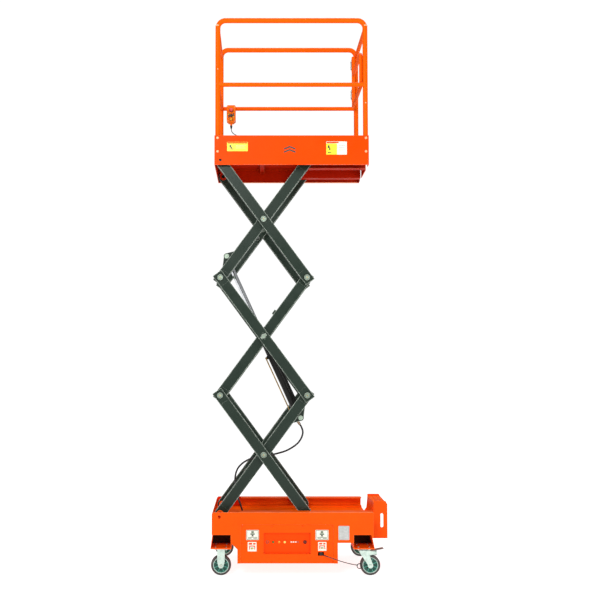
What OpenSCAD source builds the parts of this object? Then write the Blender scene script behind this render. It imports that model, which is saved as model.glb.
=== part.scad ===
/* [Chassis] */
// Length of the chassis side walls
chassis_l = 1194; // [1180:1:1210]
// Width over the chassis side walls
chassis_w = 720; // [716:1:724]
// Height of the top edge of the side walls above the floor
wall_top = 472; // [468:1:476]
// Thickness of the chassis sheet
sheet = 4; // [3:0.5:5]
// Height of the bottom of the hanging equipment box
box_bottom = 100; // [90:1:120]

/* [Scissor] */
// Distance between the end pivots of one arm
arm_l = 1110; // [1100:1:1112]
// Angle of the arms above the horizontal, platform raised
rest_angle = 53.6; // [50:0.1:55]
// Height of the lowest pivots above the floor
pivot_z = 438; // [436:1:440]
// Depth of the arm section, seen from the side
arm_h = 80; // [70:1:80]
// Width of the arm section, across the machine
arm_t = 40; // [36:1:40]
// Diameter of the pivot pins
pin_d = 30; // [24:1:32]

/* [Platform] */
// Length over the toe boards
platform_l = 1175; // [1165:1:1180]
// Width over the toe boards
platform_w = 600; // [596:1:604]
// Height of the platform above the top pivots
deck_over_pivot = 82; // [80:1:90]
// Height of the guard rail centre line above the deck
rail_h = 1006; // [950:1:1100]
// Outer diameter of the guard rail tube
rail_d = 38; // [32:1:40]

/* [Casters] */
// Wheel diameter
wheel_d = 150; // [140:1:152]
// Wheel width
wheel_w = 42; // [36:1:46]
// Distance of the wheel planes from the middle of the machine
wheel_y = 290; // [285:1:295]

/* [Hidden] */

$fn = 48;
paint = "orangered";
steel = "silver";
arm_paint = "darkslategray";
dark = "dimgray";

gap = 0.3;         // between moving faces
fit = 0.05;        // radial running clearance of pins
far = [0, 1, 0];   // mirror that makes a far-side piece

// Chassis
x_left = -660;
x_right = x_left + chassis_l;
half_w = chassis_w / 2;
tray_top = pivot_z - arm_h / 2 - 4;
bay_top = 308;       // top of the caster openings in the side walls
plate_z = 206;       // underside of the caster mounting plates
plate_t = 8;
box_x0 = -470;
box_x1 = 270;
cover_x0 = -447;
cover_x1 = 240;
cover_top = 384;
wall_foot = 250;     // bottom edge of the side walls beside the box
left_bay = [-660, -517];
right_bay = [386, 522];
seam = 1.5;

// Scissor
run0 = arm_l * cos(rest_angle);
rise0 = arm_l * sin(rest_angle);
pivot_x = -605;
inner_y = 205;       // middle of the inner arms
outer_y = 250;       // middle of the outer arms
arm_end = 42;        // arm length past its end pivots
pin_r = pin_d / 2;
head_y = outer_y + arm_t / 2 + gap;
roller_r = 30;
track_z = pivot_z;
ear_along = 167;     // cylinder ears from the end pivot, along the arm
ear_out = 66;        // and square to the arm
ear_y = inner_y - arm_t / 2;

// Lifting cylinder
cyl_dx = -(arm_l - 2 * ear_along) * cos(rest_angle) - 2 * ear_out * sin(rest_angle);
cyl_dz = (arm_l + 2 * ear_along) * sin(rest_angle) + 2 * ear_out * cos(rest_angle);
cyl_len = sqrt(cyl_dx * cyl_dx + cyl_dz * cyl_dz);
cyl_angle = atan2(cyl_dz, cyl_dx);
barrel_len = 690;
barrel_r = 34;
rod_r = 19;

// Platform
top_pivot_z = pivot_z + 3 * rise0;
deck_top = top_pivot_z + deck_over_pivot;
deck_t = 5;
deck_under = deck_top - deck_t;
plat_x0 = -650;
plat_x1 = plat_x0 + platform_l;
toe_y = platform_w / 2;
toe_t = 3;
toe_top = deck_top + 107;
toe_foot = deck_top - 117;
post_x0 = plat_x0 + 24;
post_x1 = plat_x1 - 22;
rail_y = toe_y - toe_t - rail_d / 2 - 0.2;
rail_top = deck_top + rail_h;
rail_mid = deck_top + 506;
bend_r = 60;
mid_d = 32;

// Gate, hung on the far post of the entry end
gate_x = post_x1 - rail_d / 2 - 10;
gate_hinge_y = rail_y - 38;
gate_d = 28;
gate_top = deck_top + 765;
gate_foot = deck_top + 508;
hinge_z = [deck_top + 870, deck_top + 620];

// Casters
wheel_r = wheel_d / 2;
axle_z = wheel_r;
axle_r = 6;
rigid_x = -593;
swivel_x = 464;
trail = 52;

// Handset on the far middle rail
set_x = -541;

// Side to side pair of one near-side piece
module pair() {
    children();
    mirror(far) children();
}

// Cylinder along Y, from y0 to y1
module bar_y(r, y0, y1) {
    translate([0, y0, 0]) rotate([-90, 0, 0]) cylinder(r = r, h = y1 - y0);
}

// Flat outline in XZ, as thick as y0 to y1
module plate_y(y0, y1) {
    translate([0, y1, 0]) rotate([90, 0, 0]) linear_extrude(height = y1 - y0) children();
}

// Box from corner to corner
module block(a, b) {
    translate(a) cube(b - a);
}

// Rectangle with round corners
module round_rect(w, h, r) {
    union() {
        square([w - 2 * r, h], center = true);
        square([w, h - 2 * r], center = true);
        for (i = [-1, 1], j = [-1, 1]) translate([i * (w / 2 - r), j * (h / 2 - r)]) circle(r);
    }
}

// Pivot number i (0 lowest) on the left (0) or the right (1)
function pivot(i, side) = [pivot_x + side * run0, 0, pivot_z + i * rise0];

// Frame of an arm: X runs along it from its lower pivot
module on_inner(i) { translate(pivot(i, 0)) rotate([0, -rest_angle, 0]) children(); }
module on_outer(i) { translate(pivot(i, 1)) rotate([0, rest_angle - 180, 0]) children(); }

// ---- Chassis ----
module side_outline() {
    chamfer = 40;
    polygon([
        [x_left, bay_top], [left_bay[1], bay_top], [left_bay[1], wall_foot - 8],
        [box_x0 - chamfer, wall_foot - 8], [box_x0, wall_foot - 8 - chamfer], [box_x0, box_bottom],
        [cover_x0, box_bottom], [cover_x0, cover_top], [cover_x1, cover_top],
        [cover_x1, box_bottom], [box_x1, box_bottom], [box_x1, wall_foot],
        [right_bay[0], wall_foot], [right_bay[0], bay_top], [right_bay[1], bay_top],
        [right_bay[1], wall_foot + 35], [x_right, wall_foot + 35], [x_right, wall_top],
        [x_left + 12, wall_top], [x_left, wall_top - 12]
    ]);
}

module chassis_side() {
    access_r = 13;
    difference() {
        plate_y(-half_w, -half_w + sheet) side_outline();
        translate([pivot_x, 0, pivot_z]) bar_y(access_r, -half_w - 1, -half_w + sheet + 1);
    }
}

module chassis_side_near() { color(paint) chassis_side(); }
module chassis_side_far() { color(paint) mirror(far) chassis_side(); }

// Lug that carries a pin; foot is how far it reaches down from the pin
module lug(y0, y1, foot) {
    lug_r = 28;
    difference() {
        plate_y(y0, y1) union() {
            circle(lug_r);
            translate([-lug_r, min(0, -foot)]) square([2 * lug_r, abs(foot)]);
        }
        bar_y(pin_r + fit, y0 - 1, y1 + 1);
    }
}

module chassis_tray() {
    inner_w = half_w - sheet;
    y_open = -282;
    flange = 4;
    top_in = track_z + roller_r + gap;
    low_in = track_z - roller_r - gap;
    track_x0 = -460;
    color(paint) union() {
        difference() {
            block([x_left + sheet, -inner_w, tray_top - sheet], [x_right, inner_w, tray_top]);
            translate([hose_points[0][0], hose_points[0][1], tray_top - sheet - 1])
                cylinder(r = hose_r + 4, h = sheet + 2);
        }
        block([x_left, -inner_w, bay_top], [x_left + sheet, inner_w, wall_top - 14]);
        block([x_right - sheet, -inner_w, wall_foot + 35], [x_right, inner_w, tray_top - sheet]);
        pair() {
            block([track_x0, -inner_w, tray_top], [x_right - 2, y_open, low_in]);
            block([track_x0, -inner_w, low_in], [x_right - 2, -inner_w + flange, top_in]);
            block([track_x0, -inner_w, top_in], [x_right - 2, y_open, wall_top]);
            translate([pivot_x, 0, pivot_z]) lug(-180, -170, pivot_z - tray_top);
            translate([pivot_x, 0, pivot_z]) lug(-240, -230, pivot_z - tray_top);
        }
    }
}

module base_pivot_pins() {
    color(steel) translate([pivot_x, 0, pivot_z]) pair() {
        bar_y(pin_r, -246, -165);
        bar_y(pin_r + 4, -250, -240 - gap);
    }
}

module lower_box_pan() {
    y_in = half_w - sheet;
    pan_t = 3;
    color(paint) union() {
        block([box_x0, -y_in, box_bottom], [box_x1, y_in, box_bottom + pan_t]);
        for (x = [box_x0, box_x1 - pan_t])
            block([x, -y_in, box_bottom], [x + pan_t, y_in, tray_top - sheet]);
    }
}

// Removable cover with its seam gap all round
module cover_sheet() {
    block(
        [cover_x0 + seam, -half_w, box_bottom + 1],
        [cover_x1 - seam, -half_w + 3, cover_top - seam]
    );
}

recess = [[-276, 170], [70, 323]];
cable_slot = [[124, 157], [167, 184]];

module box_cover_near() {
    color(paint) difference() {
        cover_sheet();
        for (w = [recess, cable_slot])
            block([w[0][0], -half_w - 1, w[0][1]], [w[1][0], -half_w + 5, w[1][1]]);
    }
}

module box_cover_far() {
    vent = [70, 8];
    color(paint) difference() {
        mirror(far) cover_sheet();
        for (x = [-300, -200, 0, 100], z = [150 : 25 : 225])
            block([x, half_w - 5, z], [x + vent[0], half_w + 1, z + vent[1]]);
    }
}

lamp_x = [-208, -162, -121];
lamp_r = [8, 12, 12];
lamp_z = 254;
inlet_x = 29;
inlet_r = 13;
panel_y = -half_w + 15;

module indicator_panel() {
    rim = 3;
    color("orangered") difference() {
        union() {
            block(
                [recess[0][0] - rim, -half_w + 3 + gap, recess[0][1] - rim],
                [recess[1][0] + rim, panel_y + rim, recess[1][1] + rim]
            );
        }
        block(
            [recess[0][0], -half_w - 1, recess[0][1]],
            [recess[1][0], panel_y, recess[1][1]]
        );
        for (i = [0 : 2]) translate([lamp_x[i], 0, lamp_z]) bar_y(lamp_r[i] - 2, panel_y - 1, panel_y + 9);
        translate([inlet_x, 0, lamp_z]) bar_y(inlet_r - 2, panel_y - 1, panel_y + 9);
    }
}

// Charge lamps with their threaded shanks, and the charging inlet
module panel_fittings() {
    lamp_colours = ["green", "orange", "gold"];
    for (i = [0 : 2]) color(lamp_colours[i]) translate([lamp_x[i], 0, lamp_z]) {
        bar_y(lamp_r[i], panel_y - 4, panel_y);
        bar_y(lamp_r[i] - 2.1, panel_y, panel_y + 20);
        translate([0, panel_y - 4, 0]) intersection() {
            sphere(lamp_r[i] * 0.75);
            translate([0, -50, 0]) cube(100, center = true);
        }
    }
    color(dark) translate([inlet_x, 0, lamp_z]) difference() {
        union() {
            bar_y(inlet_r, panel_y - 5, panel_y);
            bar_y(inlet_r - 2.1, panel_y, panel_y + 25);
        }
        bar_y(inlet_r - 4, panel_y - 6, panel_y + 12);
    }
}

// ---- Caster mountings ----
// A bay has an inner edge at x0 and x1; the two sides flare out to the plate
module caster_bracket(x0, x1, flare0, flare1) {
    y_front = -half_w - 8;
    y_back = -196;
    web = 4;
    roof = tray_top - sheet;
    plate_top = plate_z + plate_t;
    wall_in = -half_w + sheet;
    block([x0 - flare0, y_front, plate_z], [x1 + flare1, y_back, plate_top]);
    plate_y(wall_in, y_back) polygon([
        [x0 - flare0, plate_top], [x0 - flare0 + web, plate_top], [x0 + web, bay_top],
        [x0 + web, roof], [x0, roof], [x0, bay_top]
    ]);
    plate_y(wall_in, y_back) polygon([
        [x1 + flare1, plate_top], [x1 + flare1 - web, plate_top], [x1 - web, bay_top],
        [x1 - web, roof], [x1, roof], [x1, bay_top]
    ]);
    plate_y(y_back - web, y_back) polygon([
        [x0 - flare0, plate_top], [x1 + flare1, plate_top], [x1, bay_top],
        [x1, roof], [x0, roof], [x0, bay_top]
    ]);
}

bolt_dx = 40;
bolt_dy = 50;
bolt_r = 4;
cap_t = 5;           // caster top plate
leg_in = 26;         // fork legs, from the wheel plane
leg_out = 31;

module caster_brackets() {
    color(paint) pair() difference() {
        union() {
            caster_bracket(left_bay[0] + sheet, left_bay[1], 12, 2);
            caster_bracket(right_bay[0], right_bay[1], 0, 19);
        }
        bolt_holes();
    }
}

// Hexagon bolt with its nut under the caster's top plate, head up
module caster_bolt() {
    hex_r = 7.5;
    hex_h = 5.5;
    nut_z = plate_z - cap_t - hex_h;
    translate([0, 0, plate_z + plate_t]) cylinder(r = hex_r, h = hex_h, $fn = 6);
    translate([0, 0, nut_z - 3]) cylinder(r = bolt_r, h = plate_z + plate_t - nut_z + 3);
    translate([0, 0, nut_z]) cylinder(r = hex_r, h = hex_h, $fn = 6);
}

// One child at each bolt of the caster at x
module at_bolts(x) {
    for (i = [-1, 1], j = [-1, 1]) translate([x + i * bolt_dx, -wheel_y + j * bolt_dy, 0]) children();
}

module bolt_holes() {
    for (x = [rigid_x, swivel_x]) at_bolts(x)
        translate([0, 0, plate_z - cap_t - 1]) cylinder(r = bolt_r + fit, h = plate_t + cap_t + 2);
}

module caster_fasteners() {
    color(steel) pair() {
        for (x = [rigid_x, swivel_x]) at_bolts(x) caster_bolt();
        translate([rigid_x, -wheel_y, axle_z]) axle_bolt();
    }
}

// Axle bolt through a wheel and its fork, with its head and nut
module axle_bolt() {
    hex_h = 7;
    bar_y(axle_r, -leg_out - 1, leg_out + 10);
    for (y = [-leg_out - hex_h, leg_out])
        translate([0, y, 0]) rotate([-90, 0, 0]) cylinder(r = 10, h = hex_h, $fn = 6);
}

module caster_cap(x) {
    difference() {
        block([x - 54, -wheel_y - 64, plate_z - cap_t], [x + 54, -wheel_y + 64, plate_z]);
        bolt_holes();
    }
}

module rigid_caster_forks() {
    foot_r = 20;
    half = 28;
    color(steel) pair() {
        caster_cap(rigid_x);
        for (y = [-leg_out, leg_in]) translate([rigid_x, -wheel_y + y, 0]) difference() {
            plate_y(0, leg_out - leg_in) union() {
                polygon([
                    [-half, plate_z - cap_t], [-half, axle_z + 30], [-foot_r, axle_z],
                    [foot_r, axle_z], [half, axle_z + 30], [half, plate_z - cap_t]
                ]);
                translate([0, axle_z]) circle(foot_r);
            }
            translate([0, 0, axle_z]) bar_y(axle_r + fit, -1, leg_out);
        }
    }
}

race_z = 186;        // underside of the swivel race
king_r = 8;

// Fixed half of the swivel casters: top plate, ball race and king pin
module swivel_caster_plates() {
    color(steel) pair() {
        caster_cap(swivel_x);
        translate([swivel_x, -wheel_y, 0]) {
            translate([0, 0, race_z]) cylinder(r = 33, h = plate_z - cap_t - race_z);
            translate([0, 0, race_z - 14]) cylinder(r = king_r, h = 15);
            translate([0, 0, race_z - 18]) cylinder(r = 13, h = 8, $fn = 6);
        }
    }
}

module swivel_fork(side) {
    yoke_t = 7;
    yoke_z = race_z - gap - yoke_t;
    pedal_pivot = [62, 172];
    color(steel) mirror([0, side, 0]) translate([swivel_x, -wheel_y, 0]) {
        difference() {
            union() {
                translate([0, 0, yoke_z]) cylinder(r = 33, h = yoke_t);
                for (y = [-leg_out, leg_in]) translate([0, y, 0]) plate_y(0, leg_out - leg_in) union() {
                    polygon([
                        [-30, yoke_z + yoke_t], [-30, yoke_z - 6], [trail - 19, axle_z + 4],
                        [trail + 19, axle_z + 4], [46, 150], [70, 154], [104, 160],
                        [100, 176], [66, 182], [34, yoke_z + yoke_t]
                    ]);
                    translate([trail, axle_z]) circle(20);
                }
            }
            translate([0, 0, yoke_z - 1]) cylinder(r = king_r + fit, h = yoke_t + 2);
            translate([trail, 0, axle_z]) bar_y(axle_r + fit, -leg_out - 1, leg_out + 1);
            translate([pedal_pivot[0], 0, pedal_pivot[1]]) bar_y(5 + fit, -leg_out - 1, leg_out + 1);
        }
        translate([trail, 0, axle_z]) axle_bolt();
        translate([pedal_pivot[0], 0, pedal_pivot[1]]) {
            bar_y(5, -leg_out - 3, leg_out + 3);
            for (y = [-leg_out - 4, leg_out + 1]) bar_y(8, y, y + 3);
        }
    }
}

module swivel_fork_near() { swivel_fork(0); }
module swivel_fork_far() { swivel_fork(1); }

module brake_pedal(side) {
    half = 22;
    color(steel) mirror([0, side, 0]) translate([swivel_x, -wheel_y, 0]) difference() {
        plate_y(-half, half) union() {
            polygon([
                [52, 172], [54, 183], [92, 188], [150, 199], [153, 196], [99, 184],
                [99, 149], [84, 149], [80, 166], [62, 162]
            ]);
            translate([62, 172]) circle(10);
        }
        translate([62, 0, 172]) bar_y(5 + fit, -half - 1, half + 1);
    }
}

module brake_pedal_near() { brake_pedal(0); }
module brake_pedal_far() { brake_pedal(1); }

// Wheel about Y: a spoked core in a tyre
module wheel() {
    rim_r = wheel_r - 17;
    half = wheel_w / 2;
    hub_half = leg_in - 1;
    color(dark) rotate([90, 0, 0]) rotate_extrude($fn = 96) polygon([
        [rim_r + gap / 3, -half + 1], [wheel_r - 5, -half], [wheel_r, -half + 6],
        [wheel_r, half - 6], [wheel_r - 5, half], [rim_r + gap / 3, half - 1]
    ]);
    color("seagreen") difference() {
        union() {
            rotate([90, 0, 0]) rotate_extrude($fn = 96) polygon([
                [rim_r - 6, -half + 2], [rim_r, -half + 2], [rim_r, half - 2], [rim_r - 6, half - 2]
            ]);
            bar_y(rim_r - 3, -4, 4);
            bar_y(18, -hub_half, hub_half);
            for (k = [0 : 5]) rotate([0, k * 60, 0]) block([-4, -14, 10], [4, 14, rim_r - 3]);
        }
        bar_y(axle_r + fit, -hub_half - 1, hub_half + 1);
    }
}

module rigid_wheel_near() { translate([rigid_x, -wheel_y, axle_z]) wheel(); }
module rigid_wheel_far() { translate([rigid_x, wheel_y, axle_z]) wheel(); }
module swivel_wheel_near() { translate([swivel_x + trail, -wheel_y, axle_z]) wheel(); }
module swivel_wheel_far() { translate([swivel_x + trail, wheel_y, axle_z]) wheel(); }

// ---- Equipment in the box ----
box_floor = box_bottom + 3;

module battery() {
    size = [330, 172, 200];
    at = [-440, 120, box_floor];
    color("black") union() {
        translate(at) cube(size);
        translate(at + [8, 8, size[2]]) cube([size[0] - 16, size[1] - 16, 12]);
        for (x = [40, size[0] - 40]) translate(at + [x, 40, size[2] + 12]) cylinder(r = 9, h = 16);
    }
}

module pump_motor() {
    color("black") translate([-60, -120, box_floor + 90]) rotate([0, 90, 0]) cylinder(r = 57, h = 170);
}

module valve_block() {
    color(steel) union() {
        block([-130, -170, box_floor + 35], [-60.1, -70, box_floor + 145]);
        translate([-95, -120, box_floor + 145]) cylinder(r = 16, h = 55);
        translate([-95, -120, box_floor]) cylinder(r = 9, h = 36);
    }
}

module oil_tank() {
    color("black") difference() {
        block([-420, -200, box_floor], [-130.2, -40, box_floor + 180]);
        block([-417, -197, box_floor + 3], [-133, -43, box_floor + 177]);
    }
}

module battery_charger() {
    color("slategray") union() {
        block([-60, 60, box_floor], [180, 290, box_floor + 70]);
        for (k = [0 : 9]) block([-52 + k * 24, 70, box_floor + 70], [-46 + k * 24, 280, box_floor + 90]);
    }
}

// ---- Step at the entry end ----
module step_bracket() {
    cheek_in = 166;
    cheek_out = 170;
    x0 = 563;
    x1 = 668;
    foot = 243;
    top = 524;
    mount_top = tray_top - sheet - 2;
    slot = [613, 637, 325, 431];
    color(paint) union() {
        pair() difference() {
            plate_y(-cheek_out, -cheek_in) polygon([
                [x_right + gap, foot], [x1, foot], [x1, top - 24], [x1 - 14, top], [x0, top],
                [x0, mount_top + 40], [x_right + gap, mount_top]
            ]);
            plate_y(-cheek_out - 1, -cheek_in + 1) union() {
                translate([slot[0], slot[2] + 12]) square([24, slot[3] - slot[2] - 24]);
                translate([slot[0] + 12, slot[2] + 12]) circle(12);
                translate([slot[0] + 12, slot[3] - 12]) circle(12);
            }
        }
        block([x0, -cheek_in, top - 19], [x1 - 6, cheek_in, top - 15]);
        block([x0 + 12, -cheek_in, foot], [x1, cheek_in, foot + sheet]);
        block([x_right + gap, -cheek_in, foot], [x_right + gap + sheet, cheek_in, mount_top]);
        intersection() {
            translate([x_right + gap, 0, mount_top - 5]) rotate([0, 13, 0])
                block([0, -cheek_in, 0], [sheet, cheek_in, 132]);
            rotate([90, 0, 90]) linear_extrude(height = x1) polygon([
                [-60, mount_top - 5], [60, mount_top - 5],
                [cheek_in, top - 15], [-cheek_in, top - 15]
            ]);
        }
    }
}

// ---- Scissor arms ----
// One hollow arm along X, its section between y0 and y1, ends square or round
module arm(y0, y1, round0, round1) {
    wall = 4;
    block_l = 60;
    boss_r = 25;
    h = arm_h / 2;
    difference() {
        union() {
            difference() {
                plate_y(y0, y1) union() {
                    translate([0, -h]) square([arm_l, arm_h]);
                    if (round0) circle(h);
                    else translate([-arm_end, -h]) square([arm_end, arm_h]);
                    if (round1) translate([arm_l, 0]) circle(h);
                    else translate([arm_l, -h]) square([arm_end, arm_h]);
                }
                block([block_l, y0 + wall, wall - h], [arm_l - block_l, y1 - wall, h - wall]);
            }
            translate([arm_l / 2, 0, 0]) bar_y(boss_r, y0, y1);
        }
        for (x = [0, arm_l / 2, arm_l]) translate([x, 0, 0]) bar_y(pin_r + fit, y0 - 1, y1 + 1);
    }
}

// Ear that holds a cylinder pin, on the inner face of an inner arm
module ear(x, side) {
    ear_t = 12;
    ear_r = 25;
    base = [72, 95];
    edge = arm_h / 2 - 2;
    difference() {
        plate_y(-ear_y, -ear_y + ear_t) union() {
            polygon([
                [x - base[0], side * edge], [x + base[1], side * edge],
                [x + ear_r * 0.8, side * (ear_out + ear_r * 0.6)],
                [x - ear_r * 0.8, side * (ear_out + ear_r * 0.6)]
            ]);
            translate([x, side * ear_out]) circle(ear_r);
        }
        translate([x, 0, side * ear_out]) bar_y(pin_r + fit, -ear_y - 1, -ear_y + ear_t + 1);
    }
}

// Tube that ties a near arm to its far one, square to both
module cross_tube(x) {
    tube_r = 20;
    translate([x, 0, 0]) difference() {
        bar_y(tube_r, -ear_y, ear_y);
        bar_y(tube_r - 4, -ear_y + 2, ear_y - 2);
    }
}

module inner_arm_pair(round0, round1) {
    pair() arm(-inner_y - arm_t / 2, -inner_y + arm_t / 2, round0, round1);
}

module outer_arm_pair(round0, round1) {
    color(arm_paint) pair() arm(-outer_y - arm_t / 2, -outer_y + arm_t / 2, round0, round1);
}

module inner_arms_lower() {
    color(arm_paint) on_inner(0) {
        inner_arm_pair(true, false);
        cross_tube(330);
        pair() ear(arm_l - ear_along, -1);
    }
}

module inner_arms_middle() {
    tab_x = 752;
    color(arm_paint) on_inner(1) {
        inner_arm_pair(false, false);
        for (x = [200, arm_l - 200]) cross_tube(x);
        block([tab_x - 20, -inner_y - 15, arm_h / 2], [tab_x + 20, -inner_y - 9, arm_h / 2 + 14]);
    }
}

module inner_arms_upper() {
    color(arm_paint) on_inner(2) {
        inner_arm_pair(false, true);
        cross_tube(470);
        pair() mirror([1, 0, 0]) translate([-2 * ear_along, 0, 0]) ear(ear_along, 1);
    }
}

module outer_arms_lower() { on_outer(0) outer_arm_pair(true, false); }
module outer_arms_middle() { on_outer(1) outer_arm_pair(false, false); }
module outer_arms_upper() { on_outer(2) outer_arm_pair(false, true); }

// ---- Pins ----
// Head of a pin with its centre boss, on the outside of the near outer arm
module pin_head() {
    bar_y(22, head_y * -1 - 7, -head_y);
    bar_y(9, -head_y - 10, -head_y - 7);
}

// Spacer washer on a pin, in the space between an outer and an inner arm
module spacer() {
    bar_y(24, -outer_y + arm_t / 2 + gap, -inner_y - arm_t / 2 - gap);
}

// Shaft right through both arm pairs
module through_pin() {
    bar_y(pin_r, -head_y - 1, head_y + 1);
    pair() {
        pin_head();
        spacer();
    }
}

// Short pin of the middle crossing, locked by a keeper with two bolts
module stub_pin() {
    keeper_angle = 40;
    keeper_x = 17;
    bar_y(pin_r, -head_y - 1, -ear_y + 1);
    bar_y(pin_r + 5, -ear_y + gap, -ear_y + 5);
    spacer();
    translate([0, -head_y, 0]) rotate([0, -keeper_angle, 0]) {
        block([-keeper_x - 8, -4, -11], [keeper_x + 8, 0, 11]);
        bar_y(12, -7, 0);
        for (i = [-1, 1]) translate([i * keeper_x, 0, 0]) rotate([90, 0, 0]) cylinder(r = 6.5, h = 9, $fn = 6);
    }
}

// Pin across the machine between two ears, with a spacer on each side of the cylinder
module ear_pin() {
    eye_half = 35;
    sleeve_r = 21;
    bar_y(pin_r, -ear_y - 8, ear_y + 8);
    pair() {
        bar_y(sleeve_r, -ear_y + 12 + gap, -eye_half);
        bar_y(pin_r + 3, -ear_y - 8, -ear_y - gap);
    }
}

// Axle of a roller on the outside (out = 1) or the inside (out = -1) of an arm
module roller_axle(y_arm, y_roller) {
    s = sign(y_arm - y_roller);
    a = y_arm + s * (arm_t / 2 + gap);
    b = y_roller - s * 24;
    bar_y(pin_r, min(a + s * 3, b), max(a + s * 3, b));
    bar_y(pin_r + 5, min(a, a + s * 3.5), max(a, a + s * 3.5));
    bar_y(pin_r + 4, min(b + s * 4, b), max(b + s * 4, b));
}

module pins_inner_lower() {
    color(steel) union() {
        translate((pivot(0, 0) + pivot(1, 1)) / 2) through_pin();
        translate(pivot(1, 1)) through_pin();
        on_inner(0) translate([arm_l - ear_along, 0, -ear_out]) ear_pin();
    }
}

module pins_inner_middle() {
    color(steel) translate(pivot(2, 1)) through_pin();
}

module pins_inner_upper() {
    color(steel) union() {
        translate((pivot(2, 0) + pivot(3, 1)) / 2) through_pin();
        translate(pivot(3, 1)) pair() roller_axle(-inner_y, -inner_y + arm_t / 2 + 24);
        on_inner(2) translate([ear_along, 0, ear_out]) ear_pin();
    }
}

module pins_outer_lower() {
    color(steel) union() {
        translate(pivot(1, 0)) through_pin();
        translate(pivot(0, 1)) pair() roller_axle(-outer_y, -outer_y - arm_t / 2 - 37);
    }
}

module pins_outer_middle() {
    color(steel) union() {
        translate((pivot(1, 0) + pivot(2, 1)) / 2) pair() stub_pin();
        translate(pivot(2, 0)) through_pin();
    }
}

module pins_outer_upper() {
    color(steel) translate(pivot(3, 0)) pair() {
        bar_y(pin_r, -outer_y - arm_t / 2 - 16, -outer_y + arm_t / 2 + 14);
        bar_y(pin_r + 4, -outer_y - arm_t / 2 - 18, -outer_y - arm_t / 2 - 13 - gap);
    }
}

module roller(y) {
    half = 19;
    color("dimgray") translate([0, y, 0]) rotate([90, 0, 0]) rotate_extrude($fn = 64) polygon([
        [pin_r + fit, -half], [roller_r - 2, -half], [roller_r, -half + 2],
        [roller_r, half - 2], [roller_r - 2, half], [pin_r + fit, half]
    ]);
}

module base_rollers() { translate(pivot(0, 1)) pair() roller(-outer_y - arm_t / 2 - 37); }
module platform_rollers() { translate(pivot(3, 1)) pair() roller(-inner_y + arm_t / 2 + 24); }

// ---- Lifting cylinder ----
// Frame of the cylinder: X runs from its lower pin to its upper one
module on_cylinder() {
    on_inner(0) translate([arm_l - ear_along, 0, -ear_out])
        rotate([0, rest_angle - cyl_angle, 0]) children();
}

eye_r = 28;
neck = 60;           // from the upper pin to the end of the rod
gland_l = 35;
bore_r = 26;
stroke_from = 62;    // piston face when the rod is in

module along(r, x0, x1) {
    translate([x0, 0, 0]) rotate([0, 90, 0]) cylinder(r = r, h = x1 - x0);
}

module cylinder_barrel() {
    port_x = [50, 523];
    color("black") on_cylinder() difference() {
        union() {
            bar_y(eye_r, -30, 30);
            along(barrel_r, 20, barrel_len - gland_l);
            along(barrel_r + 3, barrel_len - gland_l - 1, barrel_len);
            for (x = port_x) block([x - 13, -13, barrel_r - 4], [x + 13, 13, barrel_r + 9]);
        }
        bar_y(pin_r + fit, -31, 31);
        along(bore_r, stroke_from - 2, barrel_len - gland_l);
        along(rod_r + fit, barrel_len - gland_l - 1, barrel_len + 1);
    }
}

module cylinder_rod() {
    piston_l = 40;
    end_room = 4;
    piston_x = barrel_len - gland_l - piston_l - end_room;
    color(steel) on_cylinder() union() {
        along(rod_r, piston_x, cyl_len - neck - gap);
        along(bore_r - gap, piston_x, piston_x + piston_l);
    }
}

module rod_eye() {
    color("black") on_cylinder() translate([cyl_len, 0, 0]) difference() {
        union() {
            bar_y(eye_r, -30, 30);
            along(rod_r + 3, -neck, -20);
        }
        bar_y(pin_r + fit, -31, 31);
    }
}

// Hard pipe beside the barrel, from the rod end port to the lower end
module transfer_pipe() {
    pipe_r = 5;
    offset_z = barrel_r + 16;
    ends = [50, 523];
    color("goldenrod") on_cylinder() union() {
        translate([0, 0, offset_z]) along(pipe_r, ends[0], ends[1]);
        for (x = ends) translate([x, 0, barrel_r + 9]) cylinder(r = 8, h = 12, $fn = 6);
    }
}

// ---- Platform ----
module platform_deck() {
    notch = rail_d + 5;
    color("gray") difference() {
        block(
            [plat_x0 + toe_t, -toe_y + toe_t, deck_under],
            [plat_x1 - toe_t, toe_y - toe_t, deck_top]
        );
        pair() for (x = [post_x0, post_x1])
            block([x - notch / 2, -toe_y, deck_under - 1], [x + notch / 2, -toe_y + notch + 2, deck_top + 1]);
    }
}

module toe_boards() {
    lip = 14;
    access_r = 11;
    arm_slot = [124, 230];   // lets the arm ends and the tracks through
    color(paint) difference() {
        union() {
            pair() {
                block([plat_x0, -toe_y, toe_foot], [plat_x1, -toe_y + toe_t, toe_top]);
                block([plat_x0, -toe_y, toe_foot], [plat_x1, -toe_y + lip, toe_foot + toe_t]);
            }
            block([plat_x0, -toe_y, toe_foot], [plat_x0 + toe_t, toe_y, toe_top]);
            block([plat_x1 - toe_t, -toe_y, toe_foot], [plat_x1, toe_y, toe_top]);
        }
        pair() block(
            [plat_x1 - toe_t - 1, -arm_slot[1], toe_foot - 1],
            [plat_x1 + 1, -arm_slot[0], deck_under - beam_h]
        );
        translate([pivot_x, 0, top_pivot_z]) for (s = [-1, 1])
            translate([0, s * toe_y, 0]) bar_y(access_r, -toe_t - 1, toe_t + 1);
        for (x = [post_x0, post_x1], z = rail_bolt_z, s = [-1, 1])
            translate([x, s * toe_y, z]) bar_y(bolt_r + fit, -toe_t - 1, toe_t + 1);
    }
}

beam_h = 34;

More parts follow.
